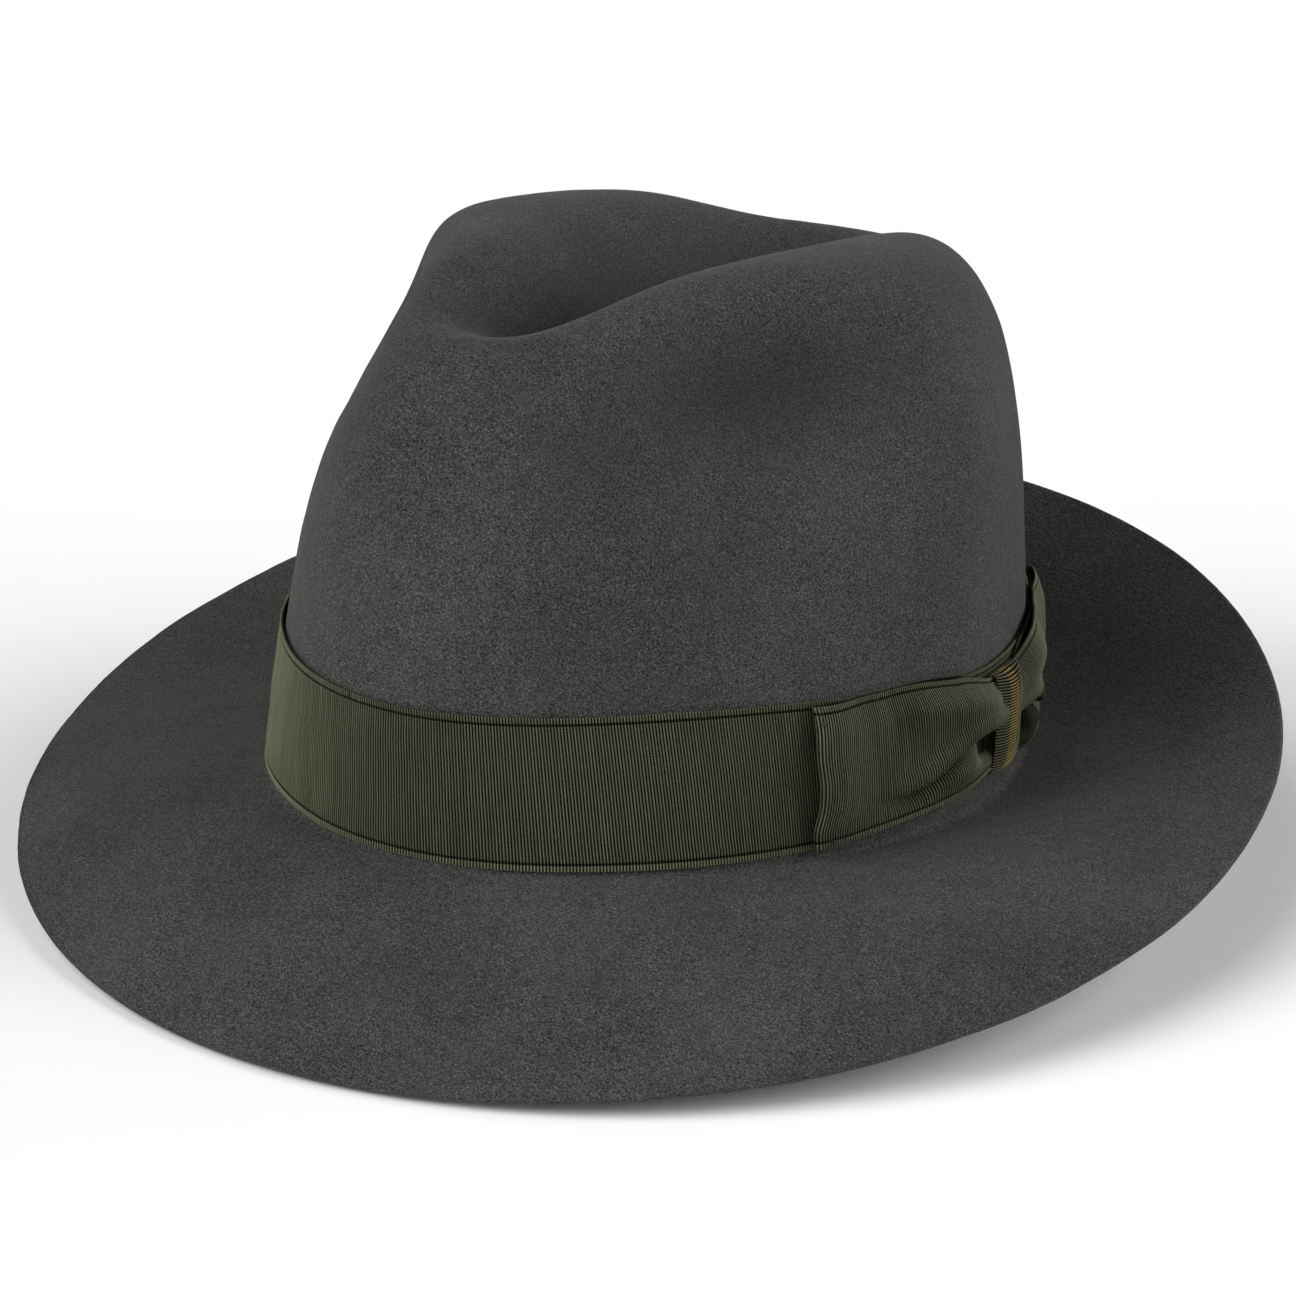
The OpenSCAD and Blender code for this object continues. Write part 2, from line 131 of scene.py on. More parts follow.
def crown_n(a, u):
    e = np.minimum(0.003, np.minimum(u, 1 - u))
    return unit(np.cross(crown_at(a + 0.01, u) - crown_at(a - 0.01, u),
                         crown_at(a, u + e) - crown_at(a, u - e)))


def wall_c(a, h):
    """The crown's wall at height h above the brim's break."""
    s = np.maximum(h / (CROWN_H - CROWN_RISE * np.sin(a) - break_z(a)), 0)
    n = share(a, SQUARE)
    return crown_sc(a, s, (1 - s ** n) ** (1 / n))


def wall_n(a, h):
    return unit(np.cross(wall_c(a + 0.01, h) - wall_c(a - 0.01, h),
                         wall_c(a, h + 1) - wall_c(a, np.maximum(h - 1, 0))))


def wall(a, h, off):
    """A point off mm out from the crown's wall."""
    return wall_c(a, h) + np.asarray(off)[..., None] * wall_n(a, h)


def break_p(a):
    return vec(HALF_W * (1 + EGG * np.sin(a)) * np.cos(a), HALF_L * np.sin(a), break_z(a))


def break_n(a):
    return unit(vec(np.cos(a) / HALF_W, np.sin(a) / HALF_L, 0 * a))


def low(a, h, off):
    """A point h above and off mm out from the line of the brim's break, for what lies round the opening."""
    return break_p(a) + np.asarray(off)[..., None] * break_n(a) + vec(0 * a, 0 * a, h + 0 * a)


def brim_at(a, v):
    """The brim from the break (v = 0) to its cut edge (v = 1)."""
    w = BRIM_W - BRIM_AHEAD * np.sin(a) + BRIM_SIDE * np.cos(2 * a)
    e = SNAP * np.sin(a) - EDGE_DROP - SIDE_DIP * np.cos(2 * a)
    p, n = break_p(a), break_n(a)
    return vec(p[..., 0] + n[..., 0] * w * v, p[..., 1] + n[..., 1] * w * v,
               break_z(a) * (1 - v) + e * v ** BRIM_CURVE)


def brim_n(a, v):
    return unit(np.cross(brim_at(a, np.minimum(v + 0.01, 1)) - brim_at(a, v - 0.01),
                         brim_at(a + 0.01, v) - brim_at(a - 0.01, v)))


def wave(p, scale, seed, octaves=3):
    """Smooth noise from -1 to 1 at points p (mm): sums of sines along fixed random directions."""
    r = np.random.default_rng(seed)
    out, amp, total = 0.0, 1.0, 0.0
    for o in range(octaves):
        for _ in range(5):
            k = r.normal(size=3)
            k *= 2 * math.pi / (scale * 0.55 ** o) / np.linalg.norm(k) * r.uniform(0.7, 1.3)
            out = out + amp * np.sin(p @ k + r.uniform(0, 6.28))
        total += amp * 5 ** 0.5
        amp *= 0.5
    return out / total


# ---------------------------------------------------------------- meshes
def link_mesh(name, verts, faces):
    """A new mesh object in the scene, from points in metres."""
    me = bpy.data.meshes.new(name)
    me.from_pydata(verts, [], faces)
    o = bpy.data.objects.new(name, me)
    bpy.context.scene.collection.objects.link(o)
    return o


def shade_smooth(o):
    o.data.polygons.foreach_set("use_smooth", [True] * len(o.data.polygons))


def grid_mesh(name, P, uv=None, wrap_u=False, wrap_v=False, caps=False):
    """A mesh from a grid of points P[i, j] in mm; i runs along, j across. uv is the same grid in mm.
    wrap_u joins the first row to the last, wrap_v the first column; caps closes the two ends."""
    n, m = P.shape[:2]
    verts = (P.reshape(-1, 3) * 0.001).tolist()
    ni, mj = (n if wrap_u else n - 1), (m if wrap_v else m - 1)
    i, j = np.meshgrid(np.arange(ni), np.arange(mj), indexing="ij")
    i2, j2 = (i + 1) % n, (j + 1) % m
    faces = np.stack([i * m + j, i2 * m + j, i2 * m + j2, i * m + j2], -1).reshape(-1, 4).tolist()
    if caps:
        k = m // 2
        for row, flip in ((0, False), (n - 1, True)):
            for t in range(k - 1):
                q = [row * m + t, row * m + t + 1, row * m + m - 2 - t, row * m + m - 1 - t]
                faces.append(q[::-1] if flip else q)
    o = link_mesh(name, verts, faces)
    me = o.data
    if uv is not None:
        ext = np.zeros((n + 1, m + 1, 2))
        ext[:n, :m] = uv
        ext[n, :m] = 2 * uv[-1] - uv[-2] if wrap_u else uv[-1]
        ext[:, m] = ext[:, 0] if not wrap_v else 2 * ext[:, m - 1] - ext[:, m - 2]
        ii, jj = i.reshape(-1), j.reshape(-1)
        L = np.stack([ext[ii, jj], ext[ii + 1, jj], ext[ii + 1, jj + 1], ext[ii, jj + 1]], 1).reshape(-1, 2)
        full = np.zeros((len(me.loops), 2))
        full[:len(L)] = L
        if caps:
            for q in range(len(L), len(me.loops)):
                v = me.loops[q].vertex_index
                full[q] = uv[v // m, v % m]
        me.uv_layers.new(name="UVMap").data.foreach_set("uv", full.reshape(-1))
    me.update()
    shade_smooth(o)
    return o


def join_parts(name, parts):
    for o in bpy.context.selected_objects:
        o.select_set(False)
    for o in parts:
        o.select_set(True)
    bpy.context.view_layer.objects.active = parts[0]
    bpy.ops.object.join()
    parts[0].name = name
    parts[0].data.name = name
    return parts[0]


def fix_normals(o, weld=False):
    """Turn all faces outwards; weld first joins the points that lie on each other."""
    bm = bmesh.new()
    bm.from_mesh(o.data)
    if weld:
        bmesh.ops.remove_doubles(bm, verts=bm.verts, dist=WELD)
    bmesh.ops.recalc_face_normals(bm, faces=bm.faces)
    bm.to_mesh(o.data)
    bm.free()


def finish_piece(o, mat, slot, *nodes):
    """Give a piece its material and say where it rides and which CAD nodes it replaces; slot is not used."""
    o.data.materials.append(mat)
    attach(o, "root")
    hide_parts(*nodes)


# ---------------------------------------------------------------- materials
class Nodes:
    """A material's node tree, with a short method for each kind of node used here."""

    def __init__(self, name):
        self.mat = bpy.data.materials.new(name)
        self.mat.use_nodes = True
        self.t = self.mat.node_tree
        self.bsdf = self.t.nodes["Principled BSDF"]
        self.tex = self.t.nodes.new("ShaderNodeTexCoord")

    def new(self, kind, **kw):
        n = self.t.nodes.new(kind)
        for k, v in kw.items():
            setattr(n, k, v)
        return n

    def link(self, a, b):
        self.t.links.new(a, b)

    def put(self, socket, value):
        if hasattr(value, "is_linked") or hasattr(value, "links"):
            self.link(value, socket)
        else:
            socket.default_value = value

    def mapped(self, coord="Object", scale=(1, 1, 1), rotation=(0, 0, 0)):
        m = self.new("ShaderNodeMapping")
        self.link(self.tex.outputs[coord], m.inputs["Vector"])
        m.inputs["Scale"].default_value = scale
        m.inputs["Rotation"].default_value = rotation
        return m.outputs["Vector"]

    def noise(self, scale, detail=2.0, rough=0.5, coord=None, distortion=0.0):
        n = self.new("ShaderNodeTexNoise")
        self.link(coord if coord is not None else self.tex.outputs["Object"], n.inputs["Vector"])
        n.inputs["Scale"].default_value = scale
        n.inputs["Detail"].default_value = detail
        n.inputs["Roughness"].default_value = rough
        n.inputs["Distortion"].default_value = distortion
        return n.outputs["Fac"]

    def math(self, op, a, b=0.0):
        n = self.new("ShaderNodeMath", operation=op)
        for s, v in zip(n.inputs, (a, b)):
            self.put(s, v)
        return n.outputs[0]

    def remap(self, v, lo, hi, out_lo=0.0, out_hi=1.0):
        n = self.new("ShaderNodeMapRange")
        n.interpolation_type = "SMOOTHSTEP"
        self.put(n.inputs["Value"], v)
        for k, x in zip(("From Min", "From Max", "To Min", "To Max"), (lo, hi, out_lo, out_hi)):
            n.inputs[k].default_value = x
        return n.outputs["Result"]

    def ramp(self, v, stops):
        n = self.new("ShaderNodeValToRGB")
        self.put(n.inputs["Fac"], v)
        e = n.color_ramp.elements
        while len(e) < len(stops):
            e.new(0.5)
        for k, (p, col) in zip(e, stops):
            k.position = p
            k.color = (*col, 1)
        return n.outputs["Color"]

    def mix(self, f, a, b):
        n = self.new("ShaderNodeMix", data_type="RGBA")
        self.put(n.inputs["Factor"], f)
        for s, v in ((n.inputs[6], a), (n.inputs[7], b)):
            self.put(s, (*v, 1) if isinstance(v, tuple) and len(v) == 3 else v)
        return n.outputs[2]

    def bump(self, height, distance, strength=1.0, normal=None):
        n = self.new("ShaderNodeBump")
        self.put(n.inputs["Height"], height)
        n.inputs["Distance"].default_value = distance
        n.inputs["Strength"].default_value = strength
        if normal is not None:
            self.link(normal, n.inputs["Normal"])
        return n.outputs["Normal"]

    def stored(self, name):
        """A value that paint() has stored on the mesh."""
        return self.new("ShaderNodeAttribute", attribute_name=name).outputs["Fac"]

    def uv(self):
        n = self.new("ShaderNodeSeparateXYZ")
        self.link(self.tex.outputs["UV"], n.inputs[0])
        return n.outputs[0], n.outputs[1]

    def surface(self, **kw):
        for k, v in kw.items():
            s = self.bsdf.inputs[k.replace("_", " ")]
            if isinstance(v, tuple) and len(v) == 3:
                v = (*v, 1)
            self.put(s, v)
        return self.mat


def times(colour, k):
    return tuple(c * k for c in colour)


def felt_material(name, shade):
    """Matted charcoal fur, with painted shade in the crease and the two pinches, read from a value stored on
    the mesh; shade scales every colour.
    """
    n = Nodes(name)
    grain = n.noise(2300, 2, 0.7)                        # matted fur grain, about 0.4 mm
    fibre = n.noise(900, 4, 0.75, n.mapped(scale=(1, 1.7, 2.6), rotation=(0.3, 0.5, 0.9)), 0.6)
    clump = n.noise(300, 2, 0.5)                         # brushed clumps of a few millimetres
    cloud = n.noise(24, 3, 0.5)                          # soft light and dark areas of the nap
    tone = n.math("ADD", n.math("MULTIPLY", grain, 0.62), n.math("MULTIPLY", fibre, 0.24))
    tone = n.math("ADD", tone, n.math("MULTIPLY", clump, 0.05))
    tone = n.math("ADD", tone, n.math("MULTIPLY", cloud, 0.09))
    col = n.ramp(tone, [(0.38, times((0.008, 0.0078, 0.0075), shade)),
                        (0.47, times((0.034, 0.0331, 0.0319), shade)),
                        (0.55, times((0.068, 0.0662, 0.0637), shade)),
                        (0.66, times((0.140, 0.1365, 0.131), shade))])
    warm = n.remap(n.noise(60, 2, 0.5), 0.35, 0.7)
    col = n.mix(n.math("MULTIPLY", warm, 0.18), col, times((0.058, 0.054, 0.048), shade))
    # painted shade: the felt is darker in the crease and in the two pinches
    flat = n.math("MULTIPLY", n.stored("painted_crease_shade"), 0.6)
    col = n.mix(flat, col, times((0.018, 0.0172, 0.0162), shade))
    height = n.math("ADD", n.math("MULTIPLY", grain, 0.6), n.math("MULTIPLY", fibre, 0.5))
    nrm = n.bump(height, 0.00035, 0.7, n.bump(clump, 0.0006, 0.25))
    return n.surface(Base_Color=col, Roughness=0.96, Normal=nrm, Specular_IOR_Level=0.12,
                     Sheen_Weight=0.16, Sheen_Roughness=0.30, Sheen_Tint=(0.62, 0.60, 0.57))


def ribbon_material(name, base, stripe=None):
    """UV is in millimetres: u along the ribbon, v across it. The ribs run across, along v.
    stripe = (from v, to v, colour) takes the place of the two selvedges and their stitched grooves."""
    n = Nodes(name)
    u, v = n.uv()
    rib = n.math("COSINE", n.math("MULTIPLY", u, 2 * math.pi / RIB))
    crest = n.remap(rib, -1.0, 0.9)
    thread = n.math("SINE", n.math("MULTIPLY", v, 2 * math.pi / 0.34))   # the warp ends over each rib
    fray = n.noise(2600, 2, 0.6)
    streak = n.noise(1.0, 2, 0.5, n.mapped("UV", (1.35, 0.05, 1)))        # ribs differ a little in tone
    # painted shade: near black in the grooves between the ribs, and a painted highlight on the rib crests
    gap = times(base, 0.03)
    col = n.ramp(crest, [(0.30, gap), (0.58, times(base, 0.8)), (0.92, times(base, 2.9))])
    dash = n.remap(n.math("COSINE", n.math("MULTIPLY", v, 2 * math.pi / 0.62)), -1.0, 0.2, 0.78, 1.0)
    col = n.mix(n.math("SUBTRACT", 1.0, dash), col, gap)
    col = n.mix(n.remap(streak, 0.3, 0.7, 0.0, 0.5), col, times(base, 0.62))
    col = n.mix(n.remap(fray, 0.45, 0.75, 0.0, 0.4), col, times(base, 1.9))
    if stripe is None:
        edge = n.math("MINIMUM", v, n.math("SUBTRACT", RIBBON_W, v))
        selvedge = n.math("MULTIPLY", n.remap(edge, 1.3, 1.1), n.remap(rib, -0.5, 0.3))
        lower = n.remap(v, 12, 8, 0.15, 0.7)                       # the lower selvedge is the paler one
        col = n.mix(n.math("MULTIPLY", selvedge, lower), col, times(base, 3.6))
        groove = n.math("MULTIPLY", n.remap(edge, 1.15, 1.4), n.remap(edge, 2.0, 1.75))
        col = n.mix(n.math("MULTIPLY", groove, 0.92), col, gap)
    else:
        lo, hi, gold = stripe
        inside = n.math("MULTIPLY", n.remap(v, lo - 0.15, lo + 0.15), n.remap(v, hi + 0.15, hi - 0.15))
        lit = n.math("MULTIPLY", inside, n.remap(rib, -0.35, 0.5))
        col = n.mix(lit, col, n.mix(n.remap(fray, 0.35, 0.7), times(gold, 0.55), gold))
    painted_fold_shade = n.stored("painted_fold_shade")                                     # painted shade where the cloth is turned in
    col = n.mix(painted_fold_shade, col, times(base, 0.04))
    height = n.math("ADD", n.math("MULTIPLY", thread, 0.35), fray)
    nrm = n.bump(height, 0.00008, 0.7)
    # less shine where the painted shade is
    gloss = n.math("MULTIPLY", n.remap(crest, 0.35, 0.95, 0.0, 0.22), n.math("SUBTRACT", 1.0, painted_fold_shade))
    return n.surface(Base_Color=col, Roughness=0.6, Normal=nrm, Specular_IOR_Level=gloss)


def thread_material(name, col):
    n = Nodes(name)
    twist = n.noise(3000, 2, 0.6, n.mapped(scale=(1, 1, 0.4)))
    c = n.ramp(twist, [(0.3, times(col, 0.5)), (0.7, times(col, 1.5))])
    return n.surface(Base_Color=c, Roughness=0.6, Normal=n.bump(twist, 0.0001, 0.6), Specular_IOR_Level=0.3)


def leather_material():
    n = Nodes("sweatband_leather")
    pores = n.new("ShaderNodeTexVoronoi", feature="DISTANCE_TO_EDGE")
    n.link(n.tex.outputs["Object"], pores.inputs["Vector"])
    pores.inputs["Scale"].default_value = 1100
    edge = n.remap(pores.outputs["Distance"], 0.0, 0.22)
    wear = n.noise(45, 4, 0.6)
    fine = n.noise(900, 3, 0.6)
    col = n.ramp(wear, [(0.3, (0.060, 0.026, 0.013)), (0.55, (0.110, 0.050, 0.025)),
                        (0.75, (0.165, 0.082, 0.043))])
    col = n.mix(n.math("MULTIPLY", n.math("SUBTRACT", 1.0, edge), 0.45), col, (0.035, 0.016, 0.009))
    rough = n.remap(wear, 0.3, 0.75, 0.55, 0.38)
    nrm = n.bump(edge, 0.00012, 0.5, n.bump(fine, 0.00015, 0.3))
    return n.surface(Base_Color=col, Roughness=rough, Normal=nrm, Specular_IOR_Level=0.45)


def satin_material(name, base):
    n = Nodes(name)
    v = n.uv()[1]
    weave = n.math("SINE", n.math("MULTIPLY", v, 2 * math.pi / 0.22))
    slub = n.noise(1.0, 3, 0.6, n.mapped("UV", (0.12, 4.0, 1)))
    col = n.ramp(slub, [(0.3, times(base, 0.75)), (0.7, times(base, 1.35))])
    nrm = n.bump(n.math("ADD", n.math("MULTIPLY", weave, 0.3), slub), 0.00006, 0.5)
    return n.surface(Base_Color=col, Roughness=0.34, Normal=nrm, Specular_IOR_Level=0.55, Anisotropic=0.6,
                     Sheen_Weight=0.35, Sheen_Roughness=0.35, Sheen_Tint=(0.45, 0.36, 0.30))


def tape_material():
    n = Nodes("woven_tape")
    u, v = n.uv()
    over = n.math("MULTIPLY", n.math("SINE", n.math("MULTIPLY", u, 2 * math.pi / 0.6)),
                  n.math("SINE", n.math("MULTIPLY", v, 2 * math.pi / 0.5)))
    fine = n.noise(2200, 2, 0.6)
    col = n.ramp(n.remap(over, -1, 1), [(0.0, (0.020, 0.017, 0.014)), (1.0, (0.075, 0.066, 0.056))])
    col = n.mix(n.remap(fine, 0.4, 0.8, 0.0, 0.4), col, (0.10, 0.09, 0.08))
    return n.surface(Base_Color=col, Roughness=0.8, Normal=n.bump(over, 0.0001, 0.7), Specular_IOR_Level=0.2)


def reed_material():
    n = Nodes("reed_plastic")
    s = n.noise(500, 3, 0.6)
    col = n.ramp(s, [(0.3, (0.11, 0.105, 0.095)), (0.7, (0.19, 0.18, 0.165))])
    rough = n.remap(s, 0.3, 0.7, 0.42, 0.58)
    return n.surface(Base_Color=col, Roughness=rough, Normal=n.bump(s, 0.00008, 0.3))


M_FELT = felt_material("fur_felt", 0.9)
M_RIBBON = ribbon_material("grosgrain", (0.041, 0.041, 0.025))
M_KNOT = ribbon_material("grosgrain_knot", (0.034, 0.033, 0.020), (3.6, 8.0, (0.235, 0.175, 0.048)))
# across the small bow v runs from -3 to 3, so this is a plain line beside its middle
M_SMALL = ribbon_material("grosgrain_small", (0.034, 0.030, 0.022), (-2, -1, (0.03, 0.03, 0.02)))
M_THREAD = thread_material("olive_thread", (0.030, 0.030, 0.018))
M_STITCH = thread_material("stitch_thread", (0.16, 0.11, 0.065))
M_LEATHER = leather_material()
M_SATIN = satin_material("lining_satin", (0.030, 0.021, 0.017))
M_TIP = satin_material("lining_tip_satin", (0.034, 0.024, 0.019))
M_PIPING = thread_material("gold_piping", (0.20, 0.145, 0.06))
M_TAPE = tape_material()
M_REED = reed_material()


# ---------------------------------------------------------------- felt body
def paint(o, name, value):
    """Store one value for each point of a mesh made by grid_mesh, for its material to read."""
    flat = np.zeros(len(o.data.vertices), np.float32)
    flat[:value.size] = value.reshape(-1)
    o.data.attributes.new(name, "FLOAT", "POINT").data.foreach_set("value", flat)


def painted_crease_shade(P):
    """Painted shade at points P, 0 to 1: in the crease and in the two pinches."""
    x, y, z = P[..., 0], P[..., 1], P[..., 2]
    w = 0.72 * CREASE_W * (1 + CREASE_FLARE * y / HALF_L)
    crease = (np.exp(-(np.abs(x) / w) ** 3) * smooth((y + CREASE_F - 10) / FADE_F * 1.6)
              * smooth((CREASE_B - y) / FADE_B) * smooth((z - 80) / 12))
    p = y + PINCH_Y - 2
    pinch = (np.exp(-(p / (PINCH_L * 1.05)) ** 2 - ((z - PINCH_Z + 3 - 0.16 * p) / (PINCH_H * 0.62)) ** 2)
             * smooth((np.abs(x) - 16) / 14))
    return np.clip(crease * 0.85 + pinch, 0, 1)


def wall_u(start, end, count):
    """Steps of u up the crown's wall, nearly even in its height."""
    return np.arcsin(np.linspace(start, end, count) ** 3) / (math.pi / 2)


def top_u(start, end, count):
    """Steps of u over the crown's top, nearly even in its reach."""
    return np.arccos(np.linspace(start, end, count) ** 3) / (math.pi / 2)


def between_middles(rings):
    """Rings [ring, around, xyz] as a grid [around, ring, xyz], closed at both ends by their middles."""
    first, last = (np.broadcast_to(r.mean(0), r.shape)[None] for r in (rings[0], rings[-1]))
    return np.transpose(np.concatenate([first, rings, last]), (1, 0, 2))


def felt_body():
    """Crown and brim as one skin: rings from the crown's middle down and out, the lip, and back inside."""
    n = 360
    a = np.arange(n) * 2 * math.pi / n
    us = np.concatenate([wall_u(0.05, 0.93, 58), top_u(0.835, 0.012, 78)])[::-1]
    rows, nrm = [], []
    for u in us:
        rows.append(crown_at(a, np.full(n, u)))
        nrm.append(crown_n(a, np.full(n, u)))
    for h in (5.0, 3.6, 2.7):
        rows.append(wall_c(a, np.full(n, h)))
        nrm.append(wall_n(a, np.full(n, h)))
    for f in np.linspace(0, 90, 9):
        rows.append(low(a, BREAK_R * (1 - math.sin(f * D)), np.full(n, BREAK_R * (1 - math.cos(f * D)))))
        nrm.append(math.cos(f * D) * break_n(a) + vec(0 * a, 0 * a, math.sin(f * D)))
    lip_v = 0.992                                         # where the cut edge's rounding starts
    for v in [*np.linspace(0.06, 0.97, 56), 0.983, lip_v]:
        rows.append(brim_at(a, np.full(n, v)))
        nrm.append(brim_n(a, np.full(n, v)))
    P, N = np.stack(rows), np.stack(nrm)                  # [ring, around, xyz]
    # the hand-blocked shape is never quite even
    soft = wave(P, 70, 11, 3)[..., None] * 0.35 + wave(P, 16, 5, 2)[..., None] * 0.07
    P = P + N * soft
    # the cut edge: a rounded lip with a slightly ragged cut
    e, en, out = P[-1], N[-1], break_n(a)
    width = BRIM_W * (1 - lip_v)
    brim_r = 160                                          # about the cut edge's radius
    lip = []
    for t in np.linspace(12, 168, 9) * D:
        rag = 0.05 * wave(vec(a * brim_r, np.full(n, t * 4), 0 * a), 3.0, 21, 3)[:, None]
        lip.append(e - en * FELT_T / 2 * (1 - math.cos(t)) + out * (width + 0.28 * math.sin(t) + rag))
    inner = (P - N * FELT_T)[::-1]
    G = between_middles(np.concatenate([P, np.stack(lip), inner]))
    o = grid_mesh("felt_body_blocked", G, wrap_u=True)
    # store the painted shade of the crease and the pinches for the felt's material
    paint(o, "painted_crease_shade", painted_crease_shade(G))
    return o


body = felt_body()
fix_normals(body, weld=True)
finish_piece(body, M_FELT, "felt", "felt_body")


# ---------------------------------------------------------------- ribbon
def even_bearings(start, span, h, count, off=0.5):
    """Bearings at even steps of arc length along the wall at height h."""
    t = np.linspace(0, 1, 1500)
    a = start + span * t
    p = wall(a, np.full_like(a, h), np.full_like(a, off))
    d = np.concatenate([[0], np.cumsum(np.linalg.norm(np.diff(p, axis=0), axis=1))])
    return np.interp(np.linspace(0, d[-1], count), d, a), d[-1]


# rows across the ribbon, close together at its edges: coarse for the band, fine for the folded loops
ACROSS = np.array([0, 0.12, 0.4, 0.75, 1.1, 1.35, 1.55, 1.75, 2.0, 2.4, 3.3, 5, 7.5, 10.5, 14, 17.5])
ACROSS = np.concatenate([ACROSS, (RIBBON_W - ACROSS[:-1])[::-1]])
FINE = np.concatenate([ACROSS[:11], np.linspace(3.9, RIBBON_W - 3.9, 46), (RIBBON_W - ACROSS[:11])[::-1]])


def per_radian(a, h):
    """Length along the band for one radian of bearing, at bearing a and height h."""
    ahead, behind = (wall(np.array([a + e]), np.array([h]), np.array([1.0])) for e in (0.01, -0.01))
    return float(np.linalg.norm(ahead - behind)) / 0.02


PER_RAD = per_radian(BOW_AT * D, GIRTH_Z)


def drawn(d):
    """How far the ribbon's lower and upper edges are drawn in, d mm along the band from the knot."""
    g = np.exp(-(d / DRAW_L) ** 2)
    return DRAW_LOW * g, DRAW_HIGH * g


def ribbon_relief(along, across):
    """Height of the ribbon's face above its mean: ribs, the stitched groove and the selvedge."""
    edge = np.minimum(across, RIBBON_W - across)
    ribs = 0.18 * np.cos(2 * math.pi * along / RIB)
    g = np.exp(-((edge - 1.55) / 0.22) ** 2)
    stitch = 0.5 + 0.5 * np.cos(2 * math.pi * along / (RIB * 3))
    return ribs * (1 - 0.55 * g) - 0.24 * g * (0.7 + 0.3 * stitch) + 0.05 * (edge < 1.45)


def there_and_back(there, back):
    """Once across the outer face and back across the inner one."""
    return np.concatenate([there, back[:, ::-1]], 1)


def two_faced(name, outer, inner, uv, ring=False):
    """Closed cloth from its outer and inner faces, each [along, across, xyz]; a ring has no ends."""
    P = there_and_back(outer, inner)
    return grid_mesh(name, P, there_and_back(uv, uv), wrap_u=ring, wrap_v=True, caps=not ring)


def band():
    """The ribbon round the crown's foot; its two ends meet with a small gap behind the knot."""
    per_rib = 6
    gap = 0.15
    count = int(BAND_TURN / RIB * per_rib)
    a, length = even_bearings((BOW_AT + gap) * D, (360 - 2 * gap) * D, GIRTH_Z, count)
    s = np.linspace(0, length, len(a))
    S, V = np.meshgrid(s, ACROSS, indexing="ij")
    A = np.repeat(a[:, None], len(ACROSS), 1)
    into = np.minimum(V, RIBBON_W - V)                    # distance in from the nearer edge
    edge = np.where(V < RIBBON_W / 2, -1, 1) * np.exp(-into / 0.25)
    scallop = 0.10 * np.cos(2 * math.pi * S / RIB) + 0.072 * np.sin(2 * math.pi * S / 41)
    from_bow = (A - BOW_AT * D + math.pi) % (2 * math.pi) - math.pi
    low_cut, high_cut = drawn(from_bow * PER_RAD)
    Hh = BAND_Z + low_cut + V * (1 - (low_cut + high_cut) / RIBBON_W) + edge * scallop
    lift = 0.12 * np.exp(-into / 1.2) + 0.10 * (1 + wave(vec(S, V * 2, 0 * S), 30, 3, 2))
    outer = wall(A, Hh, CLEAR + 0.45 + lift + ribbon_relief(S, V))
    inner = wall(A, Hh, CLEAR + lift * 0.8)
    return two_faced("hat_band_ribbon", outer, inner, np.stack([S, V], -1)), length


ribbon, BAND_LEN = band()
fix_normals(ribbon)
finish_piece(ribbon, M_RIBBON, "ribbon", "hat_band")


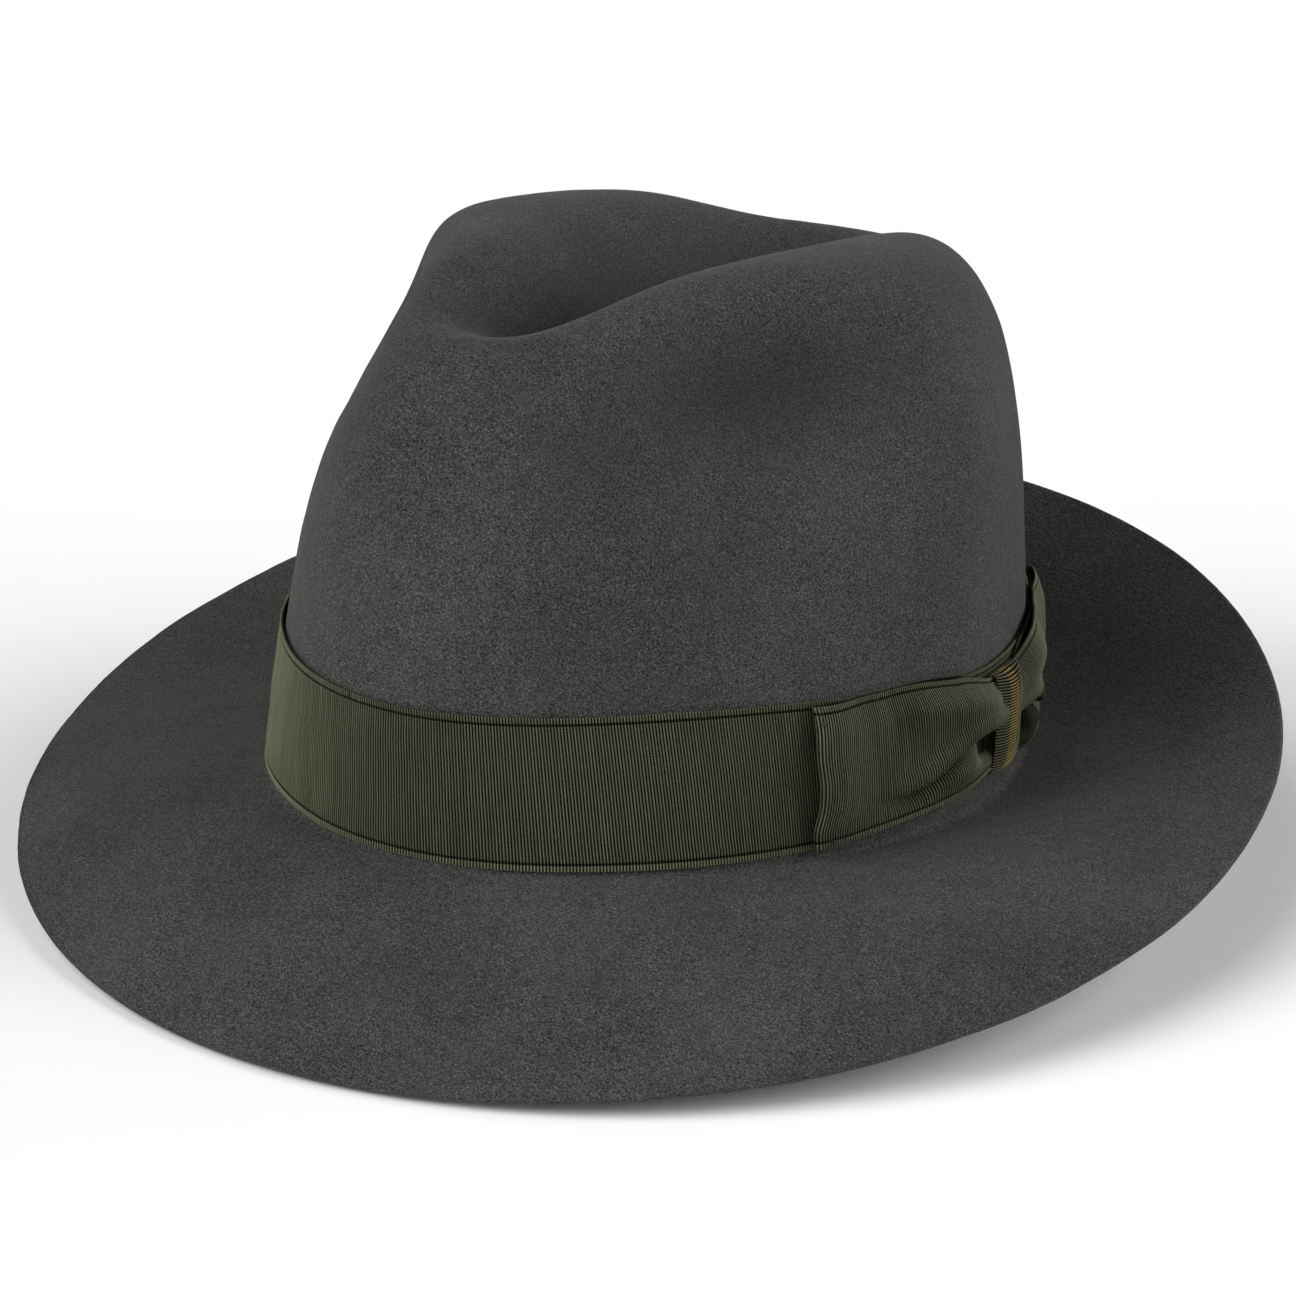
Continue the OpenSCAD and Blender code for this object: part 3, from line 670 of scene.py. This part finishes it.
def bow_loop(name, side):
    """One loop: from the knot out along the band, round a fold and back underneath.
    side is -1 towards the front and 1 towards the back."""
    r, L, steps = FOLD_R, LOOP_LEN, 900
    out_x = np.linspace(3.0, L - r, steps)
    f = np.linspace(-90, 90, 60)[1:-1] * D
    back_x = np.linspace(L - r, 5.0, steps)
    X = np.concatenate([out_x, L - r + r * np.cos(f), back_x])
    layer = np.concatenate([np.ones(steps), -np.sin(f), -np.ones(steps)])       # 1 outer, -1 inner
    d = np.concatenate([[0], np.cumsum(np.hypot(np.diff(X), np.diff(layer * r)))])
    per_rib = 6
    s = np.linspace(0, d[-1], int(d[-1] / RIB * per_rib))
    X, layer = np.interp(s, d, X), np.interp(s, d, layer)
    S, V = np.meshgrid(s, FINE, indexing="ij")
    X = np.repeat(X[:, None], len(FINE), 1)
    Lr = np.repeat(layer[:, None], len(FINE), 1)
    v = V / RIBBON_W
    face = smooth((Lr + 0.6) / 1.2)                          # 1 on the outer layer, 0 on the inner
    end = smooth((X - L + 18) / 16)                          # 1 at the fold
    tight = 1 - smooth((X - 5) / 14)                         # 1 at the knot
    low_cut, high_cut = drawn(X)
    lo = BAND_Z + low_cut + 0.9 + tight * (0.6 + 2.4 * (1 - face))
    hi = (BAND_Z + RIBBON_W - high_cut + 0.1 - 0.9 * end - tight * (2.4 + 3.0 * (1 - face))
          + LOOP_LIFT * np.exp(-((X - 32) / 16) ** 2))
    H = lo + (hi - lo) * v
    # the outer layer: a puffed ridge above, a deep pleat that runs down and out from the knot,
    # a smaller swelling below it and an opening beside the knot
    line = v - (0.55 - 0.36 * smooth((X - 8) / 36))
    sharp = face * (1 - smooth((X - 28) / 24))
    ridge = 3.0 * np.exp(-((X - 18) / 14) ** 2) * np.exp(-((v - 0.78) / 0.24) ** 2)
    over = 1.7 * np.exp(-((line - 0.07) / 0.07) ** 2) * sharp
    pleat = 5.6 * np.exp(-(line / np.where(line > 0, 0.030, 0.085)) ** 2) * sharp
    below = 1.6 * np.exp(-((X - 24) / 9) ** 2) * np.exp(-((v - 0.20) / 0.11) ** 2)
    hollow = 3.4 * np.exp(-((X - 10) / 4.5) ** 2) * smooth((0.46 - v) / 0.10) * smooth((v - 0.12) / 0.12)
    dip = 0.7 * np.exp(-((X - 41) / 5) ** 2) * np.exp(-((v - 0.8) / 0.2) ** 2)
    # the upper edge lies back towards the crown
    back_in = 2.0 * smooth((v - 0.76) / 0.24) * (1 - 0.6 * end)
    lift = face * (ridge + over - pleat + below - hollow - dip - back_in)
    # painted shade, 0 to 1, where the cloth is turned in: at the pleat, in the opening, in the dip and on
    # the inner layer
    painted_fold_shade = (0.95 * np.exp(-((line + 0.02) / np.where(line > -0.02, 0.05, 0.075)) ** 2) * sharp
            + 0.95 * np.exp(-((X - 9) / 4.0) ** 2) * smooth((0.50 - v) / 0.06) * smooth((v - 0.16) / 0.06)
            + 0.30 * np.exp(-((X - 40) / 6) ** 2) * np.exp(-((v - 0.78) / 0.2) ** 2)
            + 0.9 * smooth((0.45 - Lr) / 0.5) * smooth((X - 12) / 10))
    # more painted shade on the back loop's lower half near the knot
    if side > 0:
        painted_fold_shade = painted_fold_shade + 0.75 * smooth((0.52 - v) / 0.06) * (1 - smooth((X - 24) / 20))
    painted_fold_shade = np.clip(painted_fold_shade, 0, 0.95)
    # the ridge's lower side hangs over the pleat
    H = H - 2.3 * np.exp(-((line - 0.045) / 0.035) ** 2) * sharp
    # the fold stands off the band between its two tacked corners
    gape = (2.5 * np.sin(math.pi * np.clip(v, 0, 1)) ** 0.7 + 0.25) * end
    wobble = 0.22 * wave(vec(X, V, 0 * X), 30, 41 + side, 2) * smooth((L - X) / 8)
    off = LOOP_OFF + r + Lr * r * (1 - 0.25 * tight) + lift + gape + wobble
    off = np.maximum(off, 1.15 + 0.75 * face)             # never into the band
    # the fold's end waves, and the ribs lean where the cloth is gathered
    X = X + (-0.8 * np.exp(-((v - 0.5) / 0.22) ** 2) + 1.3 * np.exp(-((v - 0.1) / 0.14) ** 2)
             - 2.6 * smooth((v - 0.55) / 0.45)) * smooth((X - L + 26) / 24)
    X = X + face * 5.0 * (v - 0.5) * np.exp(-((X - 24) / 12) ** 2)
    A = BOW_AT * D + side * X / PER_RAD
    C = wall(A, H, off)
    N = unit(np.cross(np.gradient(C, axis=0), np.gradient(C, axis=1)))
    N = N * np.sign((N * wall_n(A, H)).sum(-1)[5:40].mean())      # outwards on the outer layer
    outer = C + N * (RIBBON_T / 2 - 0.12 + ribbon_relief(S, V))[..., None]
    inner = C - N * (RIBBON_T / 2)
    o = two_faced(name, outer, inner, np.stack([S, V], -1))
    # store the painted fold shade for the ribbon's material
    paint(o, "painted_fold_shade", there_and_back(painted_fold_shade, painted_fold_shade))
    return o, d[-1]


front, LOOP_CLOTH = bow_loop("bow_front_loop_ribbon", -1)
fix_normals(front)
finish_piece(front, M_RIBBON, "ribbon", "bow_front_loop")
back = bow_loop("bow_back_loop_ribbon", 1)[0]
fix_normals(back)
finish_piece(back, M_RIBBON, "ribbon", "bow_back_loop")


def bow_knot():
    """The keeper: a ribbon wrapped once over the bow, its ribs across the wrap."""
    f = np.linspace(0, 2 * math.pi, 4000)
    h = KNOT_L / 2 * np.sign(np.cos(f)) * np.abs(np.cos(f)) ** 0.55
    o = 2.35 * np.sign(np.sin(f)) * np.abs(np.sin(f)) ** 0.7
    d = np.concatenate([[0], np.cumsum(np.hypot(np.diff(h), np.diff(o)))])
    per_rib = 8
    ribs = int(round(d[-1] / RIB))
    pitch = d[-1] / ribs                                  # a whole number of ribs goes round
    s = np.linspace(0, d[-1], ribs * per_rib + 1)[:-1]
    h, o = np.interp(s, d, h), np.interp(s, d, o)
    rim = np.array([0, 0.12, 0.4, 0.9])
    across = np.concatenate([rim, np.linspace(1.5, KNOT_W - 1.5, 13), (KNOT_W - rim)[::-1]])
    S, V = np.meshgrid(s, across, indexing="ij")
    Hh, O = np.repeat(h[:, None], len(across), 1), np.repeat(o[:, None], len(across), 1)
    t = (V - KNOT_W / 2) / (KNOT_W / 2)
    face = smooth(O / 2.2)
    O = O + face * (1 - t ** 2 - t ** 4) + 0.12 * wave(vec(S, V, 0 * S), 9, 77, 2)
    Hh = Hh * (1 - 0.05 * (1 - t ** 2) * face)
    lean = 0.9 * np.sin(Hh / KNOT_L * 3)
    A = BOW_AT * D + ((V - KNOT_W / 2) * (1 - 0.08 * face) + lean) / PER_RAD
    H = BAND_Z + (RIBBON_W + DRAW_LOW - DRAW_HIGH) / 2 + Hh - KNOT_DROP
    edge = np.minimum(V, KNOT_W - V)
    relief = 0.19 * np.cos(2 * math.pi * S / pitch) * (1 - 0.5 * np.exp(-((edge - 0.9) / 0.2) ** 2))
    C = wall(A, H, KNOT_OFF + O)
    C = np.concatenate([C, C[:1]])
    du = np.gradient(np.concatenate([C[-2:-1], C, C[1:2]]), axis=0)[1:-1]
    dv = np.gradient(C, axis=1)
    N = unit(np.cross(du, dv))[:-1]
    C = C[:-1]
    if (N * (C - C.mean((0, 1)))).sum() < 0:
        N = -N
    outer = C + N * (RIBBON_T / 2 - 0.12 + relief)[..., None]
    inner = C - N * (RIBBON_T / 2)
    uv = np.stack([S * RIB / pitch, V], -1)
    return two_faced("bow_knot_ribbon", outer, inner, uv, ring=True), d[-1]


knot, KNOT_CLOTH = bow_knot()
fix_normals(knot)
finish_piece(knot, M_KNOT, "knot", "bow_knot")


# ---------------------------------------------------------------- threads
def stitch(p, along, up, length, width, high, seg=7, around=8):
    """A thread stitch that dives into the cloth at both ends, as rows of points."""
    t = np.linspace(-1, 1, seg)
    g = np.linspace(0, 2 * math.pi, around, endpoint=False)
    arch = 1 - t ** 4
    c = p + along * (t * length / 2)[:, None] + up * (high * arch)[:, None]
    side = np.cross(along, up)
    r = width / 2 * (0.45 + 0.55 * arch)
    ring = side * np.cos(g)[:, None] + up * np.sin(g)[:, None]
    return c[:, None] + ring[None] * r[:, None, None]


def stitches_mesh(name, items):
    """One mesh of many stitches, each closed at its two ends."""
    verts, faces, n0 = [], [], 0
    for G in items:
        n, m = G.shape[:2]
        verts.extend((G.reshape(-1, 3) * 0.001).tolist())
        for i in range(n - 1):
            for j in range(m):
                k = (j + 1) % m
                faces.append([n0 + i * m + j, n0 + (i + 1) * m + j, n0 + (i + 1) * m + k, n0 + i * m + k])
        faces.append([n0 + j for j in range(m)][::-1])
        faces.append([n0 + (n - 1) * m + j for j in range(m)])
        n0 += n * m
    o = link_mesh(name, verts, faces)
    shade_smooth(o)
    fix_normals(o)
    return o


def wall_frame(a, h, off):
    """A point near the wall, and the directions out of it, along it and up it."""
    A, H = np.array([a]), np.array([float(h)])
    p, n = wall(A, H, np.array([off]))[0], wall_n(A, H)[0]
    e = unit(wall(A + 0.01, H, np.array([off]))[0] - p)
    return p, n, e, unit(np.cross(n, e))


items = []
for side in (-1, 1):
    for h in (BAND_Z + 3.4, BAND_Z + RIBBON_W - 4.4):     # just inside the fold's two corners
        a = BOW_AT * D + side * (LOOP_LEN - 3.5) / PER_RAD
        p, n, e, z = wall_frame(a, h, LOOP_OFF + 2 * FOLD_R + 1.15)
        items.append(stitch(p, unit(e + 0.6 * z), n, 1.9, 0.35, 0.25))
        items.append(stitch(p, unit(e - 0.6 * z), n, 1.9, 0.35, 0.30))
tacks = stitches_mesh("bow_tack_threads", items)
finish_piece(tacks, M_THREAD, "thread", "bow_tacks")

items = []
for deg in (100, 180, 262, 318):                          # bearings of the band's tacks
    p, n, e, z = wall_frame(deg * D, BAND_Z + RIBBON_W - 0.7, CLEAR + 0.62)
    items.append(stitch(p, z, n, 1.5, 0.3, 0.22))
band_tacks = stitches_mesh("band_tack_threads", items)
finish_piece(band_tacks, M_THREAD, "thread", "band_tacks")


# ---------------------------------------------------------------- sweatband
def sweatband():
    """The leather strip inside the crown, from its seam once round, with a slightly wavy free top edge."""
    n = 420
    gap = 0.4 * D
    a = np.linspace(SEAM_AT * D + gap, (SEAM_AT + 360) * D - gap, n)
    top_h = SWEAT_H - 0.1
    foot = [0.2, 0.35, 0.8, 1.6, 2.6, 3.0, 3.4, 4.4]
    hs = np.concatenate([foot, np.linspace(6, 46, 22), [48, 49, 49.6, top_h]])
    A, H = np.meshgrid(a, hs, indexing="ij")
    top = smooth((H - 30) / 20)
    from_seam = np.abs(A - (SEAM_AT + 180) * D) - math.pi
    away = 1 - np.exp(-(from_seam / 0.05) ** 2)           # 0 at the seam
    free = 0.5 * top * (1 + wave(vec(A * AROUND, H, 0 * A), 60, 19, 2)) * away
    H2 = H + 0.35 * top * wave(vec(A * AROUND, 0 * A, 0 * A), 45, 23, 2)
    dent = 0.22 * np.exp(-((H - STITCH_Z) / 0.35) ** 2)   # where the stitches pull in
    edge = 0.18 * np.exp(-(H - 0.2) / 0.25) + 0.18 * np.exp(-(top_h - H) / 0.25)

    def place(off):
        return np.where((H < 2)[..., None], low(A, H, off), wall(A, np.maximum(H2, 0.2), off))

    outer = place(-SWEAT_OUT - free - edge)
    inner = place(-SWEAT_IN - free + dent + edge - 0.03 * wave(vec(A * AROUND, H, 0 * A), 7, 29, 3))
    return two_faced("sweatband_leather", outer, inner, np.stack([(A - a[0]) * AROUND, H], -1))


sweat = sweatband()
fix_normals(sweat)
finish_piece(sweat, M_LEATHER, "sweat_leather", "sweatband")

items = []
for a in np.linspace(SEAM_AT + SEAM_HALF, SEAM_AT + 360 - SEAM_HALF, STITCHES) * D:
    p, n, e, z = wall_frame(a, STITCH_Z, -SWEAT_IN + 0.02)
    items.append(stitch(p, unit(e + 0.10 * z), -n, 2.6, 0.42, 0.16, 6, 6))
finish_piece(stitches_mesh("sweatband_stitch_threads", items), M_STITCH, "thread", "sweatband_stitches")


def seam_strip():
    """The strip that covers the sweatband's seam, with a stitched line near each side."""
    t = np.linspace(-1, 1, 15)
    h = np.concatenate([[4.5, 4.7], np.linspace(5.2, 47.8, 40), [48.3, 48.5]])
    T, H = np.meshgrid(t, h, indexing="ij")
    A = (SEAM_AT + T * 2.4) * D
    stitched = 0.16 * np.exp(-((np.abs(T) - 0.72) / 0.10) ** 2)
    domed = 0.30 * (1 - T ** 4)
    leaning = 0.5 * smooth((H - 30) / 20)
    outer = wall(A, H, -SWEAT_IN - 0.25 - leaning - domed + stitched)
    inner = wall(A, H, -SWEAT_IN - 0.10 - leaning)
    return two_faced("sweatband_seam_strip", outer, inner, np.stack([T * 4, H], -1))


seam = seam_strip()
fix_normals(seam)
finish_piece(seam, M_LEATHER, "sweat_leather", "sweatband_seam")


def small_bow():
    """A little flat bow of narrow ribbon at the foot of the seam: two loops and a wrap."""
    parts = []
    fold_x, fold_r = 12.4, 0.6
    leg = np.linspace(0.8, fold_x, 60)
    turn = np.linspace(-80, 80, 9) * D
    for side in (-1, 1):
        X = np.concatenate([leg, fold_x + fold_r * np.cos(turn), leg[::-1]])
        Lr = np.concatenate([np.ones(len(leg)), -np.sin(turn), -np.ones(len(leg))])
        v = np.linspace(-1, 1, 9)
        XX, V = np.meshgrid(X, v, indexing="ij")
        LL = np.repeat(Lr[:, None], 9, 1)
        wide = 1.5 + 2.6 * smooth(XX / 9)
        z = BOW_Z + V * wide + 0.5 * V * smooth(XX / 12)
        off = SWEAT_IN + 1.55 + LL * fold_r + 0.9 * np.exp(-((XX - 5) / 4) ** 2) * (LL + 1) / 2
        off = off + 0.18 * np.cos(V * 9) * np.exp(-XX / 4)
        A = SEAM_AT * D + side * XX / SEAM_R
        outer, inner = wall(A, z, -off - 0.18), wall(A, z, -off + 0.12)
        d = np.concatenate([[0], np.cumsum(np.hypot(np.diff(X), fold_r * np.diff(Lr)))])
        uv = np.stack([np.repeat(d[:, None], 9, 1), V * 3], -1)
        parts.append(two_faced("small_loop", outer, inner, uv))
    f = np.linspace(0, 2 * math.pi, 64, endpoint=False)
    v = np.linspace(-1, 1, 7)
    F, V = np.meshgrid(f, v, indexing="ij")
    up = 2.5 * np.sign(np.cos(F)) * np.abs(np.cos(F)) ** 0.6
    out = 1.15 * np.sign(np.sin(F)) * np.abs(np.sin(F)) ** 0.7 * (1 + 0.15 * (1 - V ** 2))
    A = SEAM_AT * D + V * 2.3 / SEAM_R
    middle = SWEAT_IN + 1.75
    outer = wall(A, BOW_Z + up, -(middle + out))
    inner = wall(A, BOW_Z + up * 0.86, -(middle + out * 0.72))
    parts.append(two_faced("small_wrap", outer, inner, np.stack([F * 3, V * 2.3], -1), ring=True))
    for p in parts:
        fix_normals(p)
    return join_parts("sweatband_bow_ribbon", parts)


sbow = small_bow()
finish_piece(sbow, M_SMALL, "small_ribbon", "sweatband_bow")


def reed_tape():
    """The tape folded round the reed, its two edges standing up behind the sweatband."""
    n = 400
    a = np.arange(n) * 2 * math.pi / n
    rd, rz = SWEAT_OUT + 0.5, -1.7
    near, far = REED_R + 0.12, REED_R + 0.42
    turn = np.linspace(-20, -240, 18)
    up = np.linspace(5, 0.4, 6)
    cols = []
    out_d = LINING_OUT - 0.1
    ring_o = [("w", h, out_d) for h in up] + [("r", t, far) for t in turn]
    ring_i = [("r", t, near) for t in turn[::-1]] + [("w", h, out_d + 0.3) for h in up[::-1]]
    for kind, t, r in ring_o + ring_i:
        if kind == "w":                                   # t is a height on the wall
            cols.append(wall(a, np.full(n, t), np.full(n, -r)) if t > 2 else low(a, t, np.full(n, -r)))
        else:                                             # t is an angle round the reed
            g = (t + 50) * D
            rr = r + 0.03 * np.sin(a * 260)
            cols.append(low(a, rz + rr * math.sin(g), -rd + rr * math.cos(g)))
    P = np.stack(cols, 1)
    v = np.concatenate([np.linspace(0, 9, 24), np.linspace(9, 0, 24)])
    uv = np.stack(np.broadcast_arrays(a[:, None] * AROUND, v[None]), -1)
    return grid_mesh("reed_tape_woven", P, uv, wrap_u=True, wrap_v=True)


tape = reed_tape()
fix_normals(tape)
finish_piece(tape, M_TAPE, "tape", "reed_tape")


# ---------------------------------------------------------------- lining
def lining_side():
    """The lining's wall, from under the sweatband up to the seam with the tip."""
    n = 720
    a = np.arange(n) * 2 * math.pi / n
    hs = np.concatenate([[8, 8.4], np.linspace(11, 51, 14)])
    us = wall_u(0.6, 0.93, 26)
    us = np.concatenate([us[(us > 0.12) & (us < TIP_SEAM - 0.03)], [TIP_SEAM - 0.015, TIP_SEAM]])
    rows, nrm = [], []
    for h in hs:
        rows.append(wall_c(a, np.full(n, h)))
        nrm.append(wall_n(a, np.full(n, h)))
    for u in us:
        rows.append(crown_at(a, np.full(n, u)))
        nrm.append(crown_n(a, np.full(n, u)))
    P, N = np.stack(rows, 1), np.stack(nrm, 1)
    t = np.linspace(0, 1, P.shape[1])[None, :]
    A = a[:, None]
    # gathers: soft folds that deepen towards the tip's seam
    g = 0.55 * np.sin(A * 46 + 0.8 * np.sin(A * 5)) + 0.35 * np.sin(A * 83 + 1.4 * np.sin(A * 7 + 1))
    fold = (0.9 + g) * 0.5 * smooth((t - 0.45) / 0.45) * (1 - 0.6 * smooth((t - 0.95) / 0.05))
    sag = 0.5 * smooth((t - 0.4) / 0.3) * (1 + wave(P, 40, 51, 2))
    d = fold + sag
    outer = P - N * (LINING_OUT + d)[..., None]
    inner = P - N * (LINING_IN + d)[..., None]
    uv = np.stack(np.broadcast_arrays(A * AROUND, t * 110), -1)
    return two_faced("lining_side_satin", outer, inner, uv, ring=True)


lside = lining_side()
fix_normals(lside)
finish_piece(lside, M_SATIN, "lining", "lining_side")


def lining_tip():
    """The lining's top panel, a double skin with its rim drawn tight at the seam."""
    n = 480
    a = np.arange(n) * 2 * math.pi / n
    us = top_u(0.835, 0.012, 50)
    us = np.concatenate([[TIP_SEAM + 0.012], us[us > TIP_SEAM + 0.03]])[::-1]
    P = np.stack([crown_at(a, np.full(n, u)) for u in us])
    N = np.stack([crown_n(a, np.full(n, u)) for u in us])
    from_rim = np.minimum(np.linspace(1, 0, len(us)) * 6, 1)[:, None]
    d = 0.35 * (1 + wave(P, 34, 61, 3)) * from_rim
    upper = P - N * (LINING_OUT + d)[..., None]
    lower = (P - N * (LINING_IN + d)[..., None])[::-1]
    G = between_middles(np.concatenate([upper, lower]))
    return grid_mesh("lining_tip_satin", G, G[..., :2], wrap_u=True)


tip = lining_tip()
fix_normals(tip, weld=True)
finish_piece(tip, M_TIP, "lining", "lining_tip")


def piping():
    """A laid cord of three strands in the seam between the lining's side and tip."""
    n = 900
    a = np.arange(n) * 2 * math.pi / n
    u = np.full(n, TIP_SEAM + 0.006)
    nn, p = crown_n(a, u), crown_at(a, u)
    t = unit(crown_at(a, u + 0.01) - p)
    c = p - (LINING_IN + 0.2 + PIPING_R) * nn
    f = np.arange(12) * math.pi / 6
    rr = PIPING_R * (1 + 0.10 * np.cos(3 * (f[None] - a[:, None] * 52)))
    ring = np.cos(f)[None, :, None] * nn[:, None] + np.sin(f)[None, :, None] * t[:, None]
    P = c[:, None] + rr[..., None] * ring
    seam_r = 68                                           # mean radius of the seam
    uv = np.stack(np.broadcast_arrays(a[:, None] * seam_r, f[None] * PIPING_R), -1)
    return grid_mesh("lining_piping_cord", P, uv, wrap_u=True, wrap_v=True)


pipe = piping()
fix_normals(pipe)
finish_piece(pipe, M_PIPING, "piping", "lining_piping")


# the reed is the one CAD node left showing, inside its tape
reed = bpy.data.objects["sweatband_reed"]
reed.data.materials.clear()
reed.data.materials.append(M_REED)

# ---------------------------------------------------------------- floor, light and camera
scene = bpy.context.scene


def pale_floor(z):
    """A round floor of five rings, wide enough to fill the picture from any side."""
    rings, n = (1.2, 2.4, 3.6, 4.8, 6.0), 96
    turns = [2 * math.pi * i / n for i in range(n)]
    verts = [(r * math.cos(t), r * math.sin(t), z) for r in rings for t in turns]
    verts.append((0, 0, z))
    faces = [[len(verts) - 1, i, (i + 1) % n] for i in range(n)]
    faces += [[j * n + i, (j + 1) * n + i, (j + 1) * n + (i + 1) % n, j * n + (i + 1) % n]
              for j in range(len(rings) - 1) for i in range(n)]
    floor = link_mesh("floor", verts, faces)
    nf = Nodes("pale_floor")
    tone = nf.ramp(nf.noise(9, 3, 0.5), [(0.3, (0.93, 0.93, 0.93)), (0.7, (0.95, 0.95, 0.95))])
    floor.data.materials.append(nf.surface(Base_Color=tone, Roughness=0.9, Specular_IOR_Level=0.1))
    return floor


bpy.context.view_layer.update()
low_z = min((body.matrix_world @ Vector(c)).z for c in body.bound_box)
floor = pale_floor(low_z - 0.0004)

scene.view_settings.view_transform = "Standard"
scene.view_settings.look = "None"
scene.view_settings.exposure = 0.0
world = bpy.data.worlds.new("studio")
scene.world = world
world.use_nodes = True
world.node_tree.nodes["Background"].inputs[0].default_value = (1, 1, 1, 1)
world.node_tree.nodes["Background"].inputs[1].default_value = 0.04

# the photograph's view: bearing, height and roll in degrees, distance in metres
AZ, EL, ROLL, DIST = 33.74, 20.96, 0.60, 0.8865
# focal length, and where the lens's axis meets the picture, with the picture's width as PICTURE
PICTURE, FOCAL, CX, CY = 1296, 3583.5, 649.4, 728.0
SENSOR = 36.0


def soft_sun(name, turn, height, strength):
    """A large soft lamp, turn degrees to the right of the camera's side and height degrees up."""
    d = bpy.data.lights.new(name, "SUN")
    d.energy = strength
    d.angle = 50 * D
    o = bpy.data.objects.new(name, d)
    scene.collection.objects.link(o)
    t, h = (AZ + turn) * D, height * D
    aim = Vector((math.sin(t) * math.cos(h), -math.cos(t) * math.cos(h), math.sin(h)))
    o.rotation_euler = aim.to_track_quat("Z", "Y").to_euler()


def photo_camera():
    """The camera at the photograph's viewing angle, its axis through the middle of the head opening."""
    az, el, roll = AZ * D, EL * D, ROLL * D
    back_v = np.array([math.sin(az) * math.cos(el), -math.cos(az) * math.cos(el), math.sin(el)])
    level = np.array([math.cos(az), math.sin(az), 0.0])
    upright = np.cross(back_v, level)
    right_v = math.cos(roll) * level + math.sin(roll) * upright
    up_v = -math.sin(roll) * level + math.cos(roll) * upright
    cam = bpy.data.cameras.new("camera")
    cam.sensor_width = SENSOR
    cam.lens = FOCAL * SENSOR / PICTURE
    cam.shift_x = (PICTURE / 2 - CX) / PICTURE
    cam.shift_y = (CY - PICTURE / 2) / PICTURE
    cam.clip_start = 0.05
    cam.clip_end = 40
    o = bpy.data.objects.new("camera", cam)
    scene.collection.objects.link(o)
    m = Matrix.Identity(4)
    for i in range(3):
        m[i][0], m[i][1], m[i][2], m[i][3] = right_v[i], up_v[i], back_v[i], back_v[i] * DIST
    o.matrix_world = m
    return o


soft_sun("left_low", -66, 20, 1.95)
soft_sun("left_high", -64, 50, 1.7)
soft_sun("right_low", 73, 28, 2.2)
soft_sun("right_back", 115, 22, 0.6)
soft_sun("front_low", 12, 18, 0.22)
bpy.context.scene.camera = photo_camera()

bpy.context.view_layer.update()
